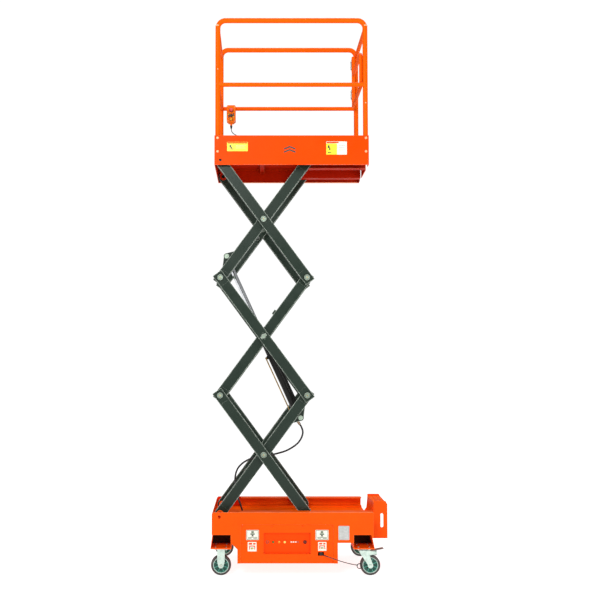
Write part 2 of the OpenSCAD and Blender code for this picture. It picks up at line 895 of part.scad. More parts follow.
module platform_beams() {
    y_web = [-132, -128];
    y_open = -182;
    flange = 4;
    low_in = top_pivot_z - roller_r - gap;
    top_in = top_pivot_z + roller_r + gap;
    under = deck_under - beam_h;
    track = [2, plat_x1 - 8];
    color(paint) union() {
        for (x = [-596, -300, 0, 220, 435]) block(
            [x, -toe_y + toe_t, under], [x + 32, toe_y - toe_t, deck_under]
        );
        pair() {
            block([track[0], y_web[0], low_in - flange], [track[1], y_web[1], under]);
            block([track[0], y_open, low_in - flange], [track[1], y_web[0], low_in]);
            block([track[0], y_open, top_in], [track[1], y_web[0], under]);
            for (y = [-283, -229]) translate([pivot_x, y, top_pivot_z]) lug_down(10);
        }
    }
}

module lug_down(t) {
    reach = deck_under - beam_h - top_pivot_z;
    difference() {
        plate_y(0, t) union() {
            circle(28);
            polygon([[-28, 0], [28, 0], [40, reach], [-28, reach]]);
        }
        bar_y(pin_r + fit, -1, t + 1);
    }
}

// Guard rails as a solid: two hoops, their middle rails and the cross rails
module rail_frame(r, m, foot) {
    end_z = rail_top - bend_r - 8;
    x0 = post_x0;
    x1 = post_x1;
    pair() translate([0, -rail_y, 0]) {
        for (x = [x0, x1]) translate([x, 0, foot]) cylinder(r = r, h = rail_top - bend_r - foot);
        translate([x0 + bend_r, 0, rail_top]) along(r, 0, x1 - x0 - 2 * bend_r);
        translate([x0 + bend_r, 0, rail_top - bend_r]) rotate([90, 0, 0])
            rotate([0, 0, 90]) rotate_extrude(angle = 90, $fn = 96) translate([bend_r, 0]) circle(r);
        translate([x1 - bend_r, 0, rail_top - bend_r]) rotate([90, 0, 0])
            rotate_extrude(angle = 90, $fn = 96) translate([bend_r, 0]) circle(r);
        translate([x0, 0, rail_mid]) along(m, 0, x1 - x0);
    }
    for (x = [x0, x1]) translate([x, 0, end_z]) bar_y(m, -rail_y, rail_y);
    translate([x0, 0, rail_mid]) bar_y(m, -rail_y, rail_y);
}

rail_bolt_z = [deck_top + 87, deck_top - 17];

module guard_rails() {
    wall = 2.5;
    color(paint) difference() {
        rail_frame(rail_d / 2, mid_d / 2, deck_under - beam_h);
        rail_frame(rail_d / 2 - wall, mid_d / 2 - wall, deck_under - beam_h - 1);
        for (x = [post_x0, post_x1], z = rail_bolt_z, s = [-1, 1])
            translate([x, s * rail_y, z]) bar_y(bolt_r + fit, -rail_d, rail_d);
    }
}

// Hinge leaves of the gate on the far post, above and below each knuckle
module hinge_leaves() {
    leaf_h = 16;
    pin_half = 50;
    for (z = hinge_z) {
        translate([gate_x, gate_hinge_y, z - pin_half]) cylinder(r = 4, h = 2 * pin_half);
        for (low = [z - pin_half - 4, z + pin_half - leaf_h + 4]) {
            translate([gate_x, gate_hinge_y, low]) cylinder(r = 10, h = leaf_h);
            block([gate_x - 9, gate_hinge_y, low], [gate_x + 9.9, rail_y - 7, low + leaf_h]);
        }
    }
}

// Bolts of the posts, hinge leaves, and the socket of the handset cable
module platform_fittings() {
    color(steel) hinge_leaves();
    color(steel) pair() for (x = [post_x0, post_x1], z = rail_bolt_z) translate([x, -toe_y, z]) {
        bar_y(bolt_r, -4, rail_d + 12);
        bar_y(9, -5, 0);
        translate([0, rail_d + 4, 0]) rotate([-90, 0, 0]) cylinder(r = 8, h = 6, $fn = 6);
    }
    color("black") translate([-440, 0, deck_top]) {
        block([-20, toe_y - toe_t - 36, 40], [20, toe_y - toe_t, 92]);
        translate([0, toe_y - toe_t - 18, 92]) cylinder(r = 9, h = 10);
    }
}

// ---- Gate ----
// Quarter bend of the gate's free edge, in the YZ plane
module gate_bend(r, bend, start) {
    rotate([90, 0, 90]) rotate([0, 0, start]) rotate_extrude(angle = 90, $fn = 64)
        translate([bend, 0]) circle(r);
}

module gate() {
    r = gate_d / 2;
    y0 = -rail_y + rail_d / 2 + 6;
    y1 = gate_hinge_y - 26;
    bend = 45;
    knuckle = 33;
    color(paint) difference() {
        union() {
            for (z = [gate_foot, gate_top]) translate([gate_x, 0, z]) bar_y(r, y0 + bend, y1);
            translate([gate_x, y1, gate_foot - r]) cylinder(r = r, h = hinge_z[0] + 50 - gate_foot + r);
            translate([gate_x, y0, gate_foot + bend])
                cylinder(r = r, h = gate_top - gate_foot - 2 * bend);
            translate([gate_x, y0 + bend, gate_foot + bend]) gate_bend(r, bend, 180);
            translate([gate_x, y0 + bend, gate_top - bend]) gate_bend(r, bend, 90);
            for (z = hinge_z) {
                translate([gate_x, gate_hinge_y, z - knuckle]) cylinder(r = 10, h = 2 * knuckle);
                block([gate_x - 5, y1, z - knuckle], [gate_x + 5, gate_hinge_y, z + knuckle]);
            }
        }
        for (z = hinge_z) translate([gate_x, gate_hinge_y, z - knuckle - 1])
            cylinder(r = 4 + fit, h = 2 * knuckle + 2);
    }
}

// ---- Handset ----
module handset() {
    w = 74;
    d = 46;
    top = 516;
    low = 377;
    back = rail_y - mid_d / 2 - 1;
    hook = 26;
    color("orange") difference() {
        union() {
            translate([set_x, back, deck_top]) rotate([90, 0, 0]) linear_extrude(height = d) union() {
                translate([0, (top + low) / 2]) round_rect(w, top - low, 12);
                polygon([[-w / 2 + 4, low + 14], [w / 2 - 4, low + 14], [22, low - 8], [-22, low - 8]]);
            }
            translate([set_x, back - d / 2, deck_top + low - 32]) cylinder(r = 9, h = 26);
        }
        for (b = set_buttons) translate([set_x, back - d, deck_top + b[0]]) bar_y(b[1] - 3 + fit, -1, 14);
    }
    color(dark) translate([set_x - hook / 2, 0, rail_mid]) rotate([90, 0, 90]) linear_extrude(height = hook)
        difference() {
            translate([back - 4, -10]) square([mid_d + 10, mid_d / 2 + 16]);
            translate([back, -11]) square([mid_d + 2, mid_d / 2 + 13]);
        }
}

set_buttons = [[474, 14], [429, 11], [396, 11]];

// Push button number i: a cap on a stem
module push_button(i) {
    back = rail_y - mid_d / 2 - 1;
    b = set_buttons[i];
    cap = i == 0 ? 14 : 7;
    travel = 4;
    translate([set_x, back - 46, deck_top + b[0]]) {
        bar_y(b[1] - 3, -travel - 2, 14 - travel - 1);
        bar_y(b[1], -travel - cap, -travel - gap);
    }
}

module handset_stop() { color("red") push_button(0); }
module handset_up() { color("black") push_button(1); }
module handset_down() { color("gold") push_button(2); }

// ---- Hose and cords ----
function unit(v) = v / norm(v);
function tangent(p, i) = unit(p[min(i + 1, len(p) - 1)] - p[max(i - 1, 0)]);

// Sides of a tube's ring at point c: t is its direction, up is not along it
function ring(c, t, r, n, up) = let (a = unit(cross(t, up)), b = cross(a, t))
    [for (k = [0 : n - 1]) c + r * (cos(k * 360 / n) * a + sin(k * 360 / n) * b)];

// Round tube swept along a list of points
module tube(p, r, n, up) {
    m = len(p);
    points = [for (i = [0 : m - 1]) each ring(p[i], tangent(p, i), r, n, up)];
    walls = [for (i = [0 : m - 2], k = [0 : n - 1]) let (j = (k + 1) % n)
        [i * n + k, i * n + j, (i + 1) * n + j, (i + 1) * n + k]];
    caps = [[for (k = [n - 1 : -1 : 0]) k], [for (k = [0 : n - 1]) (m - 1) * n + k]];
    polyhedron(points, concat(walls, caps));
}

// Smooth route: steps points on each span of a Catmull-Rom curve through p
function spline(p, steps) = [
    for (i = [0 : len(p) - 2], s = [0 : steps - 1 + (i == len(p) - 2 ? 1 : 0)])
    let (
        u = s / steps, a = p[max(i - 1, 0)], b = p[i], c = p[i + 1], d = p[min(i + 2, len(p) - 1)]
    ) 0.5 * (2 * b + (c - a) * u + (2 * a - 5 * b + 4 * c - d) * u * u
        + (3 * b - a - 3 * c + d) * u * u * u)
];

// Pressure hose, from the grommet in the tray up to the cylinder's lower port
hose_points = [
    [-436, -12, 385], [-440, -12, 420], [-456, -12, 470], [-478, -12, 530], [-492, -12, 590],
    [-498, -12, 650], [-494, -12, 705], [-476, -12, 752], [-446, -12, 786], [-408, -12, 812],
    [-366, -12, 830], [-310, -12, 842], [-250, -12, 850], [-200, -12, 860], [-150, -12, 872],
    [-100, -12, 888], [-50, -12, 914], [-6, -12, 948], [22, -12, 988], [34, -12, 1032],
    [24, -12, 1072], [4, -12, 1104], [-14, -12, 1128]
];
hose_r = 7;

module hydraulic_hose() { color("black") tube(spline(hose_points, 2), hose_r, 10, [0, 1, 0]); }

// Handset cable, from the handset's gland to the socket on the far toe board
cable_points = [
    [-541, 238, 345], [-541, 238, 325], [-538, 238, 306], [-529, 239, 290], [-514, 241, 279],
    [-496, 244, 270], [-478, 248, 259], [-462, 252, 244], [-450, 257, 225], [-443, 263, 203],
    [-440, 269, 178], [-439, 274, 152], [-440, 278, 125], [-440, 279, 102]
];
cable_r = 3.5;

module handset_cable() {
    color("gray") translate([0, 0, deck_top]) tube(spline(cable_points, 2), cable_r, 8, [0, 1, 0]);
}

// Pull cable of the emergency lowering valve, with its ring
pull_points = [
    [150, -345, 170], [156, -362, 168], [168, -376, 164], [186, -387, 159], [208, -396, 153],
    [232, -404, 146], [258, -411, 138.5], [285, -417, 131], [312, -422, 124], [338, -426, 118],
    [362, -429, 113], [384, -431, 109.5], [398, -432, 107.5]
];
pull_r = 3;
ring_at = [419, -432, 100];

module pull_cable() { color("black") tube(spline(pull_points, 2), pull_r, 8, [0, 0, 1]); }

module pull_ring() {
    color(dark) union() {
        translate(ring_at) rotate([90, 0, 0]) rotate_extrude($fn = 64) translate([17, 0]) circle(r = 3, $fn = 24);
        translate([399.5, -432, 107.2]) rotate([0, 100, 0]) cylinder(r = 4.5, h = 7);
    }
}

chassis_side_near();
chassis_side_far();
chassis_tray();
lower_box_pan();
box_cover_near();
box_cover_far();
indicator_panel();
panel_fittings();
caster_brackets();
rigid_caster_forks();
swivel_caster_plates();
caster_fasteners();
base_pivot_pins();
battery();
pump_motor();
oil_tank();
valve_block();
battery_charger();
step_bracket();
pull_cable();
pull_ring();
inner_arms_lower();
inner_arms_middle();
inner_arms_upper();
outer_arms_lower();
outer_arms_middle();
outer_arms_upper();
pins_inner_lower();
pins_inner_middle();
pins_inner_upper();
pins_outer_lower();
pins_outer_middle();
pins_outer_upper();
base_rollers();
platform_rollers();
cylinder_barrel();
cylinder_rod();
rod_eye();
transfer_pipe();
hydraulic_hose();
platform_deck();
toe_boards();
platform_beams();
guard_rails();
platform_fittings();
gate();
handset();
handset_stop();
handset_up();
handset_down();
handset_cable();
rigid_wheel_near();
rigid_wheel_far();
swivel_wheel_near();
swivel_wheel_far();
swivel_fork_near();
swivel_fork_far();
brake_pedal_near();
brake_pedal_far();
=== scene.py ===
import math
import random

import bmesh
import bpy
from mathutils import Matrix, Vector


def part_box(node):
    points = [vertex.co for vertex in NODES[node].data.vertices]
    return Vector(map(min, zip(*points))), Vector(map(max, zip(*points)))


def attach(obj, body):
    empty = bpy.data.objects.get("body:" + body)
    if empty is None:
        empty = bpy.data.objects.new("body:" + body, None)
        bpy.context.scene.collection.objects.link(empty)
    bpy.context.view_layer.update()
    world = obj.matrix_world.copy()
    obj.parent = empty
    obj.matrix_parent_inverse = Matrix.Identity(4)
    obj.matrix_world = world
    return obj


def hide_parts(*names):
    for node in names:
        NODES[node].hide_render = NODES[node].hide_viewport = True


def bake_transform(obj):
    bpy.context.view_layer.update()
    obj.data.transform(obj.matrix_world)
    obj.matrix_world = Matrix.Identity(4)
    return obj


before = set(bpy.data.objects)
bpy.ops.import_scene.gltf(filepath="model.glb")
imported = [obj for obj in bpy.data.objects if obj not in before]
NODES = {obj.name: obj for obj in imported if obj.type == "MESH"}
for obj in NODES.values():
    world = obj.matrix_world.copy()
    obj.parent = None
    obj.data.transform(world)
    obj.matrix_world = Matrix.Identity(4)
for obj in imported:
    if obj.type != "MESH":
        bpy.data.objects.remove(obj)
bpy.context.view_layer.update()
rng = random.Random(7)

# ---- Measures from the CAD, in metres ----
DECK_LOW, DECK_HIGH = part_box("platform_deck")
DECK = DECK_HIGH.z
TOE_LOW, TOE_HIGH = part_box("toe_boards")
RAIL_LOW, RAIL_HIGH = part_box("guard_rails")
SIDE_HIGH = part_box("chassis_side_near")[1]
RAIL_R = 0.019
RAIL_INSET = 0.0222
RAIL_Y = TOE_HIGH.y - RAIL_INSET
POST_X = (RAIL_LOW.x + RAIL_R, RAIL_HIGH.x - RAIL_R)
ARM_L = 1.110
REST = math.radians(53.6)
RUN, RISE = ARM_L * math.cos(REST), ARM_L * math.sin(REST)
PIVOT_X, PIVOT_Z = -0.605, 0.438


def pivot(i, side):
    """Joint at level i: side 0 is the left end of the arms, side 1 the right."""
    return Vector((PIVOT_X + side * RUN, 0, PIVOT_Z + i * RISE))


# ---- Camera, as the photograph was taken ----
cam_data = bpy.data.cameras.new("camera")
cam_data.sensor_width = 36
cam_data.lens = 47.27
cam_data.shift_x = 0.0619
cam_data.shift_y = 0.0677
cam_data.clip_end = 200
camera = bpy.data.objects.new("camera", cam_data)
camera.location = (-0.318, -6.118, 1.547)
camera.rotation_euler = (math.pi / 2 + 0.0419, 0, 0)
bpy.context.scene.collection.objects.link(camera)
bpy.context.scene.camera = camera


# ---- Materials ----
class Shader:
    """Node helper round the Principled shader of a new or a given material."""

    def __init__(self, name, mat=None):
        self.mat = mat or bpy.data.materials.new(name)
        self.mat.use_nodes = True
        self.tree = self.mat.node_tree
        self.bsdf = self.tree.nodes["Principled BSDF"]
        self.coords = self.new("ShaderNodeTexCoord").outputs["Object"]

    def new(self, kind, **values):
        node = self.tree.nodes.new(kind)
        for key, value in values.items():
            setattr(node, key, value)
        return node

    def link(self, a, b):
        self.tree.links.new(a, b)

    def set(self, **values):
        for key, value in values.items():
            self.bsdf.inputs[key.replace("_", " ")].default_value = value

    def noise(self, scale, detail=3.0, stretch=None):
        node = self.new("ShaderNodeTexNoise")
        node.inputs["Scale"].default_value = scale
        node.inputs["Detail"].default_value = detail
        source = self.coords
        if stretch:
            mapping = self.new("ShaderNodeMapping")
            mapping.inputs["Scale"].default_value = stretch
            self.link(source, mapping.inputs["Vector"])
            source = mapping.outputs[0]
        self.link(source, node.inputs["Vector"])
        return node.outputs["Fac"]

    def remap(self, value, a, b, lo, hi):
        node = self.new("ShaderNodeMapRange")
        for i, v in enumerate((a, b, lo, hi)):
            node.inputs[i + 1].default_value = v
        self.link(value, node.inputs[0])
        return node.outputs[0]

    def math(self, kind, a, b):
        node = self.new("ShaderNodeMath", operation=kind)
        for i, v in enumerate((a, b)):
            if isinstance(v, (int, float)):
                node.inputs[i].default_value = v
            else:
                self.link(v, node.inputs[i])
        return node.outputs[0]

    def mix(self, fac, a, b):
        node = self.new("ShaderNodeMix", data_type="RGBA")
        self.link(fac, node.inputs[0])
        for i, v in ((6, a), (7, b)):
            if isinstance(v, tuple):
                node.inputs[i].default_value = (*v, 1)
            else:
                self.link(v, node.inputs[i])
        return node.outputs[2]

    def edges(self, radius):
        """1 on sharp edges, 0 on flat faces."""
        bevel = self.new("ShaderNodeBevel", samples=4)
        bevel.inputs["Radius"].default_value = radius
        flat = self.new("ShaderNodeNewGeometry")
        dot = self.new("ShaderNodeVectorMath", operation="DOT_PRODUCT")
        self.link(bevel.outputs[0], dot.inputs[0])
        self.link(flat.outputs["Normal"], dot.inputs[1])
        return self.remap(dot.outputs["Value"], 0.985, 0.86, 0, 1)

    def bump(self, height, strength, distance):
        node = self.new("ShaderNodeBump")
        node.inputs["Strength"].default_value = strength
        node.inputs["Distance"].default_value = distance
        self.link(height, node.inputs["Height"])
        self.link(node.outputs[0], self.bsdf.inputs["Normal"])


def coated(name, colour, dark, edge, rough, coat=0.3, peel=0.25, edge_amount=0.8, radius=0.0022, spec=0.22):
    """Powder coat: cloudy colour, dark scuffs, orange peel, and worn edges that also carry a painted
    highlight where the edge colour is lighter.
    """
    s = Shader(name)
    cloud = s.remap(s.noise(3.5, 5), 0.3, 0.7, 0, 1)
    fine = s.remap(s.noise(90, 4), 0.35, 0.75, 0, 0.5)
    base = s.mix(cloud, colour, tuple(c * 0.9 for c in colour))
    base = s.mix(s.math("MULTIPLY", fine, 0.35), base, dark)
    scuff = s.remap(s.noise(34, 6, (1, 1, 4)), 0.66, 0.72, 0, 0.35)
    base = s.mix(s.math("MULTIPLY", scuff, 0.5), base, dark)
    # worn edges and a painted highlight on rounded edges, in one mask
    edge_wear_and_highlight = s.math("MULTIPLY", s.edges(radius), s.remap(s.noise(22, 5), 0.3, 0.6, 0.35, edge_amount))
    base = s.mix(edge_wear_and_highlight, base, edge)
    s.link(base, s.bsdf.inputs["Base Color"])
    s.link(s.remap(s.noise(12, 5), 0.3, 0.7, rough - 0.07, rough + 0.1), s.bsdf.inputs["Roughness"])
    s.set(Coat_Weight=coat, Coat_Roughness=0.25, Specular_IOR_Level=spec)
    s.bump(s.noise(420, 2), peel, 0.0006)
    return s.mat


def metal(name, colour, dark, rough, brushed=(1, 1, 1), grain=160, bump=0.12):
    """Bare or plated metal with stains and a fine grain."""
    s = Shader(name)
    stain = s.remap(s.noise(28, 6), 0.35, 0.72, 0, 0.7)
    base = s.mix(stain, colour, dark)
    lines = s.noise(grain, 4, brushed)
    base = s.mix(s.remap(lines, 0.45, 0.75, 0, 0.35), base, tuple(c * 0.6 for c in colour))
    s.link(base, s.bsdf.inputs["Base Color"])
    s.link(s.remap(lines, 0.3, 0.7, rough - 0.06, rough + 0.12), s.bsdf.inputs["Roughness"])
    s.set(Metallic=1.0)
    s.bump(lines, bump, 0.0004)
    return s.mat


def plastic(name, colour, rough=0.45, grain=600, bump=0.15, dust=0.12, coat=0.0, spec=0.5):
    """Moulded plastic or rubber, with a little dust."""
    s = Shader(name)
    cloud = s.remap(s.noise(40, 5), 0.35, 0.7, 0, 1)
    base = s.mix(cloud, colour, tuple(min(1, c * 0.82 + 0.004) for c in colour))
    base = s.mix(s.remap(s.noise(14, 6), 0.5, 0.8, 0, dust), base, (0.45, 0.42, 0.38))
    s.link(base, s.bsdf.inputs["Base Color"])
    s.link(s.remap(s.noise(60, 4), 0.3, 0.7, rough - 0.06, rough + 0.1), s.bsdf.inputs["Roughness"])
    s.set(Coat_Weight=coat, Specular_IOR_Level=spec)
    s.bump(s.noise(grain, 2), bump, 0.0004)
    return s.mat


ORANGE = coated("orange_coat", (0.98, 0.090, 0.0), (0.60, 0.030, 0.0), (1.0, 0.36, 0.08), 0.42, 0.02,
                spec=0.07)
ORANGE_TUBE = coated("orange_tube_coat", (0.90, 0.112, 0.0), (0.60, 0.04, 0.0), (1.0, 0.36, 0.08), 0.40,
                     0.0, spec=0.05)
# Toe-board orange: a darker copy of the chassis orange, painted shade
ORANGE_TOE_SHADED = coated("toe_board_painted_shade", (0.97, 0.064, 0.0), (0.62, 0.028, 0.0), (1.0, 0.34, 0.08), 0.40,
                    0.01, spec=0.05)
COVER = coated("cover_coat", (0.98, 0.086, 0.0), (0.60, 0.030, 0.0), (0.30, 0.012, 0.0), 0.42, 0.02,
               spec=0.07)
SCREW_COAT = coated("screw_coat", (0.86, 0.062, 0.0), (0.5, 0.02, 0.0), (0.9, 0.16, 0.04), 0.45, 0.0,
                    spec=0.05)
# Pale orange for the lips: painted highlight
LIP_HIGHLIGHT = coated("lip_painted_highlight", (1.0, 0.50, 0.24), (0.9, 0.30, 0.10), (1.0, 0.6, 0.35), 0.4, 0.05, spec=0.1)
# Redder, darker orange for the far wall's inner faces: painted shade
WALL_INSIDE_SHADE = coated("inner_wall_painted_shade", (1.0, 0.036, 0.0), (0.7, 0.015, 0.0), (1.0, 0.2, 0.05), 0.42,
                     0.02, spec=0.05)
PIN_RED = coated("pin_coat", (0.42, 0.010, 0.004), (0.25, 0.006, 0.003), (0.6, 0.05, 0.02), 0.45, 0.05,
                 spec=0.1)
# Darker orange: painted shade on the indicator panel, and plain print orange on the signs
RECESS_SHADE_AND_PRINT = coated("recess_shade_and_print_coat", (0.95, 0.062, 0.0), (0.5, 0.025, 0.0), (1.0, 0.30, 0.08), 0.42, 0.02,
                spec=0.06)
# Lighter orange for the up-facing tray: painted light
TRAY_LIT = coated("tray_painted_light", (1.0, 0.110, 0.0), (0.7, 0.03, 0.0), (1.0, 0.34, 0.08), 0.42, 0.02, spec=0.06)
# Dark red for the platform's underside and beams: painted shade
UNDERSIDE_SHADE = coated("underside_painted_shade", (0.42, 0.010, 0.0), (0.20, 0.006, 0.0), (0.85, 0.18, 0.06), 0.5,
                   0.0, spec=0.05)
# Dark brown for the caster bays: painted shade
BAY_SHADE = coated("bay_painted_shade", (0.040, 0.014, 0.008), (0.02, 0.01, 0.006), (0.20, 0.08, 0.05), 0.6, 0.0,
                spec=0.05)
# Arm coat: the pale edge colour on the rounded corners is a painted highlight
GREEN = coated("arm_coat_edge_highlight", (0.013, 0.026, 0.017), (0.008, 0.013, 0.009), (0.52, 0.58, 0.50), 0.36, 0.08,
               peel=0.3, edge_amount=0.95, radius=0.009, spec=0.22)
BLACK = coated("black_coat", (0.006, 0.006, 0.005), (0.003, 0.003, 0.003), (0.07, 0.07, 0.06), 0.3,
               0.12, 0.15, spec=0.15)
ZINC = metal("zinc_plate", (0.62, 0.70, 0.62), (0.36, 0.40, 0.32), 0.34)
DECK_STEEL = metal("deck_steel", (0.36, 0.38, 0.37), (0.27, 0.29, 0.28), 0.42)
ZINC_DARK = metal("zinc_dark", (0.30, 0.33, 0.31), (0.10, 0.11, 0.10), 0.42)
CHROME = metal("hard_chrome", (0.80, 0.82, 0.84), (0.55, 0.57, 0.60), 0.10, (1, 1, 1), 300, 0.03)
BRASS = metal("yellow_zinc", (0.50, 0.34, 0.13), (0.22, 0.13, 0.05), 0.32)
PIN_ZINC = metal("pin_zinc", (0.40, 0.49, 0.40), (0.20, 0.25, 0.19), 0.38)
CRIMP = metal("crimp_steel", (0.36, 0.25, 0.17), (0.15, 0.10, 0.07), 0.4)
RUBBER = plastic("hose_rubber", (0.014, 0.014, 0.015), 0.5, 900, 0.35, 0.06)
TYRE = plastic("wheel_tyre", (0.040, 0.031, 0.028), 0.6, 500, 0.4, 0.3)
CORE = plastic("wheel_core", (0.05, 0.27, 0.20), 0.42, 400, 0.2, 0.2)
# Darker core colour for the recessed web between the ribs: painted shade
CORE_WEB_SHADE = plastic("wheel_core_web_shade", (0.012, 0.085, 0.065), 0.5, 400, 0.2, 0.15)
RIM_PALE = plastic("rim_pale", (0.48, 0.62, 0.55), 0.4, 400, 0.15, 0.2)
FORK = metal("fork_zinc", (0.66, 0.80, 0.72), (0.40, 0.50, 0.44), 0.36)
NYLON = plastic("roller_nylon", (0.16, 0.16, 0.155), 0.45, 300, 0.2, 0.2)
BLACK_PLASTIC = plastic("black_plastic", (0.015, 0.015, 0.016), 0.4)
GREY_PLASTIC = plastic("grey_plastic", (0.24, 0.25, 0.26), 0.45)
ORANGE_PLASTIC = plastic("handset_shell", (0.92, 0.16, 0.0), 0.45, 500, 0.2, 0.02, 0.0, 0.08)
RED = plastic("red_button", (0.75, 0.012, 0.01), 0.3, 500, 0.08, 0.05, 0.4)
YELLOW = plastic("yellow_button", (0.85, 0.36, 0.01), 0.4, 500, 0.08, 0.03, 0.1, 0.2)
LENS_GREEN = plastic("lens_green", (0.03, 0.16, 0.02), 0.3, 300, 0.05, 0.02, 0.2, 0.2)
LENS_AMBER = plastic("lens_amber", (0.95, 0.30, 0.01), 0.3, 300, 0.05, 0.02, 0.2, 0.2)
LENS_YELLOW = plastic("lens_yellow", (0.95, 0.72, 0.15), 0.3, 300, 0.05, 0.02, 0.2, 0.2)
SOCKET_RED = plastic("socket_red", (0.16, 0.006, 0.004), 0.4, 400, 0.1, 0.02, 0.1, 0.2)
CABLE_GREY = plastic("cable_grey", (0.11, 0.105, 0.10), 0.5, 800, 0.25)
STICKER = plastic("sticker_cream", (0.84, 0.84, 0.72), 0.32, 900, 0.06, 0.05, 0.3)
STICKER_FRAME = plastic("sticker_frame", (0.09, 0.13, 0.07), 0.32, 900, 0.05, 0.05, 0.3)
STICKER_YELLOW = plastic("sticker_yellow", (0.95, 0.78, 0.03), 0.3, 900, 0.05, 0.04, 0.3)
STICKER_INK = plastic("sticker_ink", (0.03, 0.045, 0.035), 0.35, 900, 0.05, 0.03)
STICKER_PLATE_EDGE = plastic("plate_edge", (0.40, 0.42, 0.38), 0.3, 900, 0.05, 0.05, 0.3)
# Pale peach for the rail collars, their screws and the platform bolts: painted highlight
COLLAR_HIGHLIGHT = coated("collar_painted_highlight", (1.0, 0.45, 0.22), (0.8, 0.2, 0.05), (1.0, 0.75, 0.5), 0.3, 0.4)
STICKER_GREY = plastic("sticker_grey", (0.52, 0.53, 0.52), 0.25, 900, 0.05, 0.05, 0.3)


# ---- Mesh helpers ----
def link_mesh(name, bm, mats, smooth):
    """Object made from bm, smooth except on edges sharper than `smooth` degrees."""
    bmesh.ops.recalc_face_normals(bm, faces=bm.faces)
    mesh = bpy.data.meshes.new(name)
    bm.to_mesh(mesh)
    bm.free()
    obj = bpy.data.objects.new(name, mesh)
    bpy.context.scene.collection.objects.link(obj)
    for mat in mats if isinstance(mats, (list, tuple)) else [mats]:
        mesh.materials.append(mat)
    mesh.shade_smooth()
    mesh.set_sharp_from_angle(angle=math.radians(smooth))
    return obj


def finish_mesh(name, bm, mats, body, smooth=35, replaces=()):
    """Object made from bm that rides on one body."""
    obj = link_mesh(name, bm, mats, smooth)
    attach(obj, body)
    if replaces:
        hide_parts(*replaces)


def tag(bm, start, index):
    """Give the faces made since `start` their material."""
    bm.faces.ensure_lookup_table()
    for f in bm.faces[start:]:
        f.material_index = index


def add_box(bm, a, b, index, chamfer):
    n = len(bm.faces)
    size = Vector(b) - Vector(a)
    place = Matrix.Translation((Vector(a) + Vector(b)) / 2) @ Matrix.Diagonal((*size, 1))
    made = bmesh.ops.create_cube(bm, size=1, matrix=place)
    edges = list({e for v in made["verts"] for e in v.link_edges})
    bmesh.ops.bevel(bm, geom=edges, offset=chamfer, segments=2, affect="EDGES", profile=0.6)
    tag(bm, n, index)


def basis(axis):
    """Turn that takes +Z to axis."""
    axis = Vector(axis).normalized()
    return axis.to_track_quat("Z", "Y").to_matrix().to_4x4()


def lathe(bm, origin, axis, profile, n=48, index=0):
    """Closed solid of revolution: profile is (radius, height) pairs from axis to axis."""
    start = len(bm.faces)
    place = Matrix.Translation(origin) @ basis(axis)
    rows = []
    for r, h in profile:
        if r < 1e-7:
            rows.append([bm.verts.new(place @ Vector((0, 0, h)))])
            continue
        rows.append([
            bm.verts.new(place @ Vector((
                r * math.cos(math.tau * k / n), r * math.sin(math.tau * k / n), h)))
            for k in range(n)
        ])
    for a, b in zip(rows, rows[1:]):
        for k in range(n):
            j = (k + 1) % n
            if len(a) == 1:
                bm.faces.new((a[0], b[k], b[j]))
            elif len(b) == 1:
                bm.faces.new((a[k], b[0], a[j]))
            else:
                bm.faces.new((a[k], b[k], b[j], a[j]))
    tag(bm, start, index)


def loop_lathe(bm, origin, axis, profile, n=64, index=0):
    """Ring: a closed profile that doesn't reach the axis."""
    start = len(bm.faces)
    place = Matrix.Translation(origin) @ basis(axis)
    rows = [[
        bm.verts.new(place @ Vector((
            r * math.cos(math.tau * k / n), r * math.sin(math.tau * k / n), h)))
        for k in range(n)
    ] for r, h in profile]
    for i, a in enumerate(rows):
        b = rows[(i + 1) % len(rows)]
        for k in range(n):
            j = (k + 1) % n
            bm.faces.new((a[k], b[k], b[j], a[j]))
    tag(bm, start, index)


BEAD_SIDES = 6
RIPPLE = 0.0035


def bead(bm, centre, axis, radius, thick):
    """Weld bead round a tube, rippled as a hand-laid one is."""
    place = Matrix.Translation(centre) @ basis(axis)
    n = 72
    rows = []
    for k in range(n):
        t = math.tau * k / n
        r = thick * (0.85 + 0.25 * math.cos(k * math.pi * 0.66) + 0.1 * rng.random())
        rows.append([
            bm.verts.new(place @ Vector((
                (radius + r * math.cos(math.tau * j / BEAD_SIDES)) * math.cos(t),
                (radius + r * math.cos(math.tau * j / BEAD_SIDES)) * math.sin(t),
                r * math.sin(math.tau * j / BEAD_SIDES))))
            for j in range(BEAD_SIDES)
        ])
    for k in range(n):
        a, b = rows[k], rows[(k + 1) % n]
        for j in range(BEAD_SIDES):
            i = (j + 1) % BEAD_SIDES
            bm.faces.new((a[j], b[j], b[i], a[i]))


def seam(bm, p0, p1, thick):
    """Straight weld bead from p0 to p1."""
    p0, p1 = Vector(p0), Vector(p1)
    length = (p1 - p0).length
    n = max(6, int(length / RIPPLE))
    place = Matrix.Translation(p0) @ basis(p1 - p0)
    rows = []
    for k in range(n + 1):
        r = thick * (0.85 + 0.22 * math.cos(k * 2.1) + 0.1 * rng.random())
        rows.append([
            bm.verts.new(place @ Vector((
                r * math.cos(math.tau * j / BEAD_SIDES), r * math.sin(math.tau * j / BEAD_SIDES),
                length * k / n)))
            for j in range(BEAD_SIDES)
        ])
    for a, b in zip(rows, rows[1:]):
        for j in range(BEAD_SIDES):
            i = (j + 1) % BEAD_SIDES
            bm.faces.new((a[j], b[j], b[i], a[i]))
    bm.faces.new(rows[0])
    bm.faces.new(rows[-1])


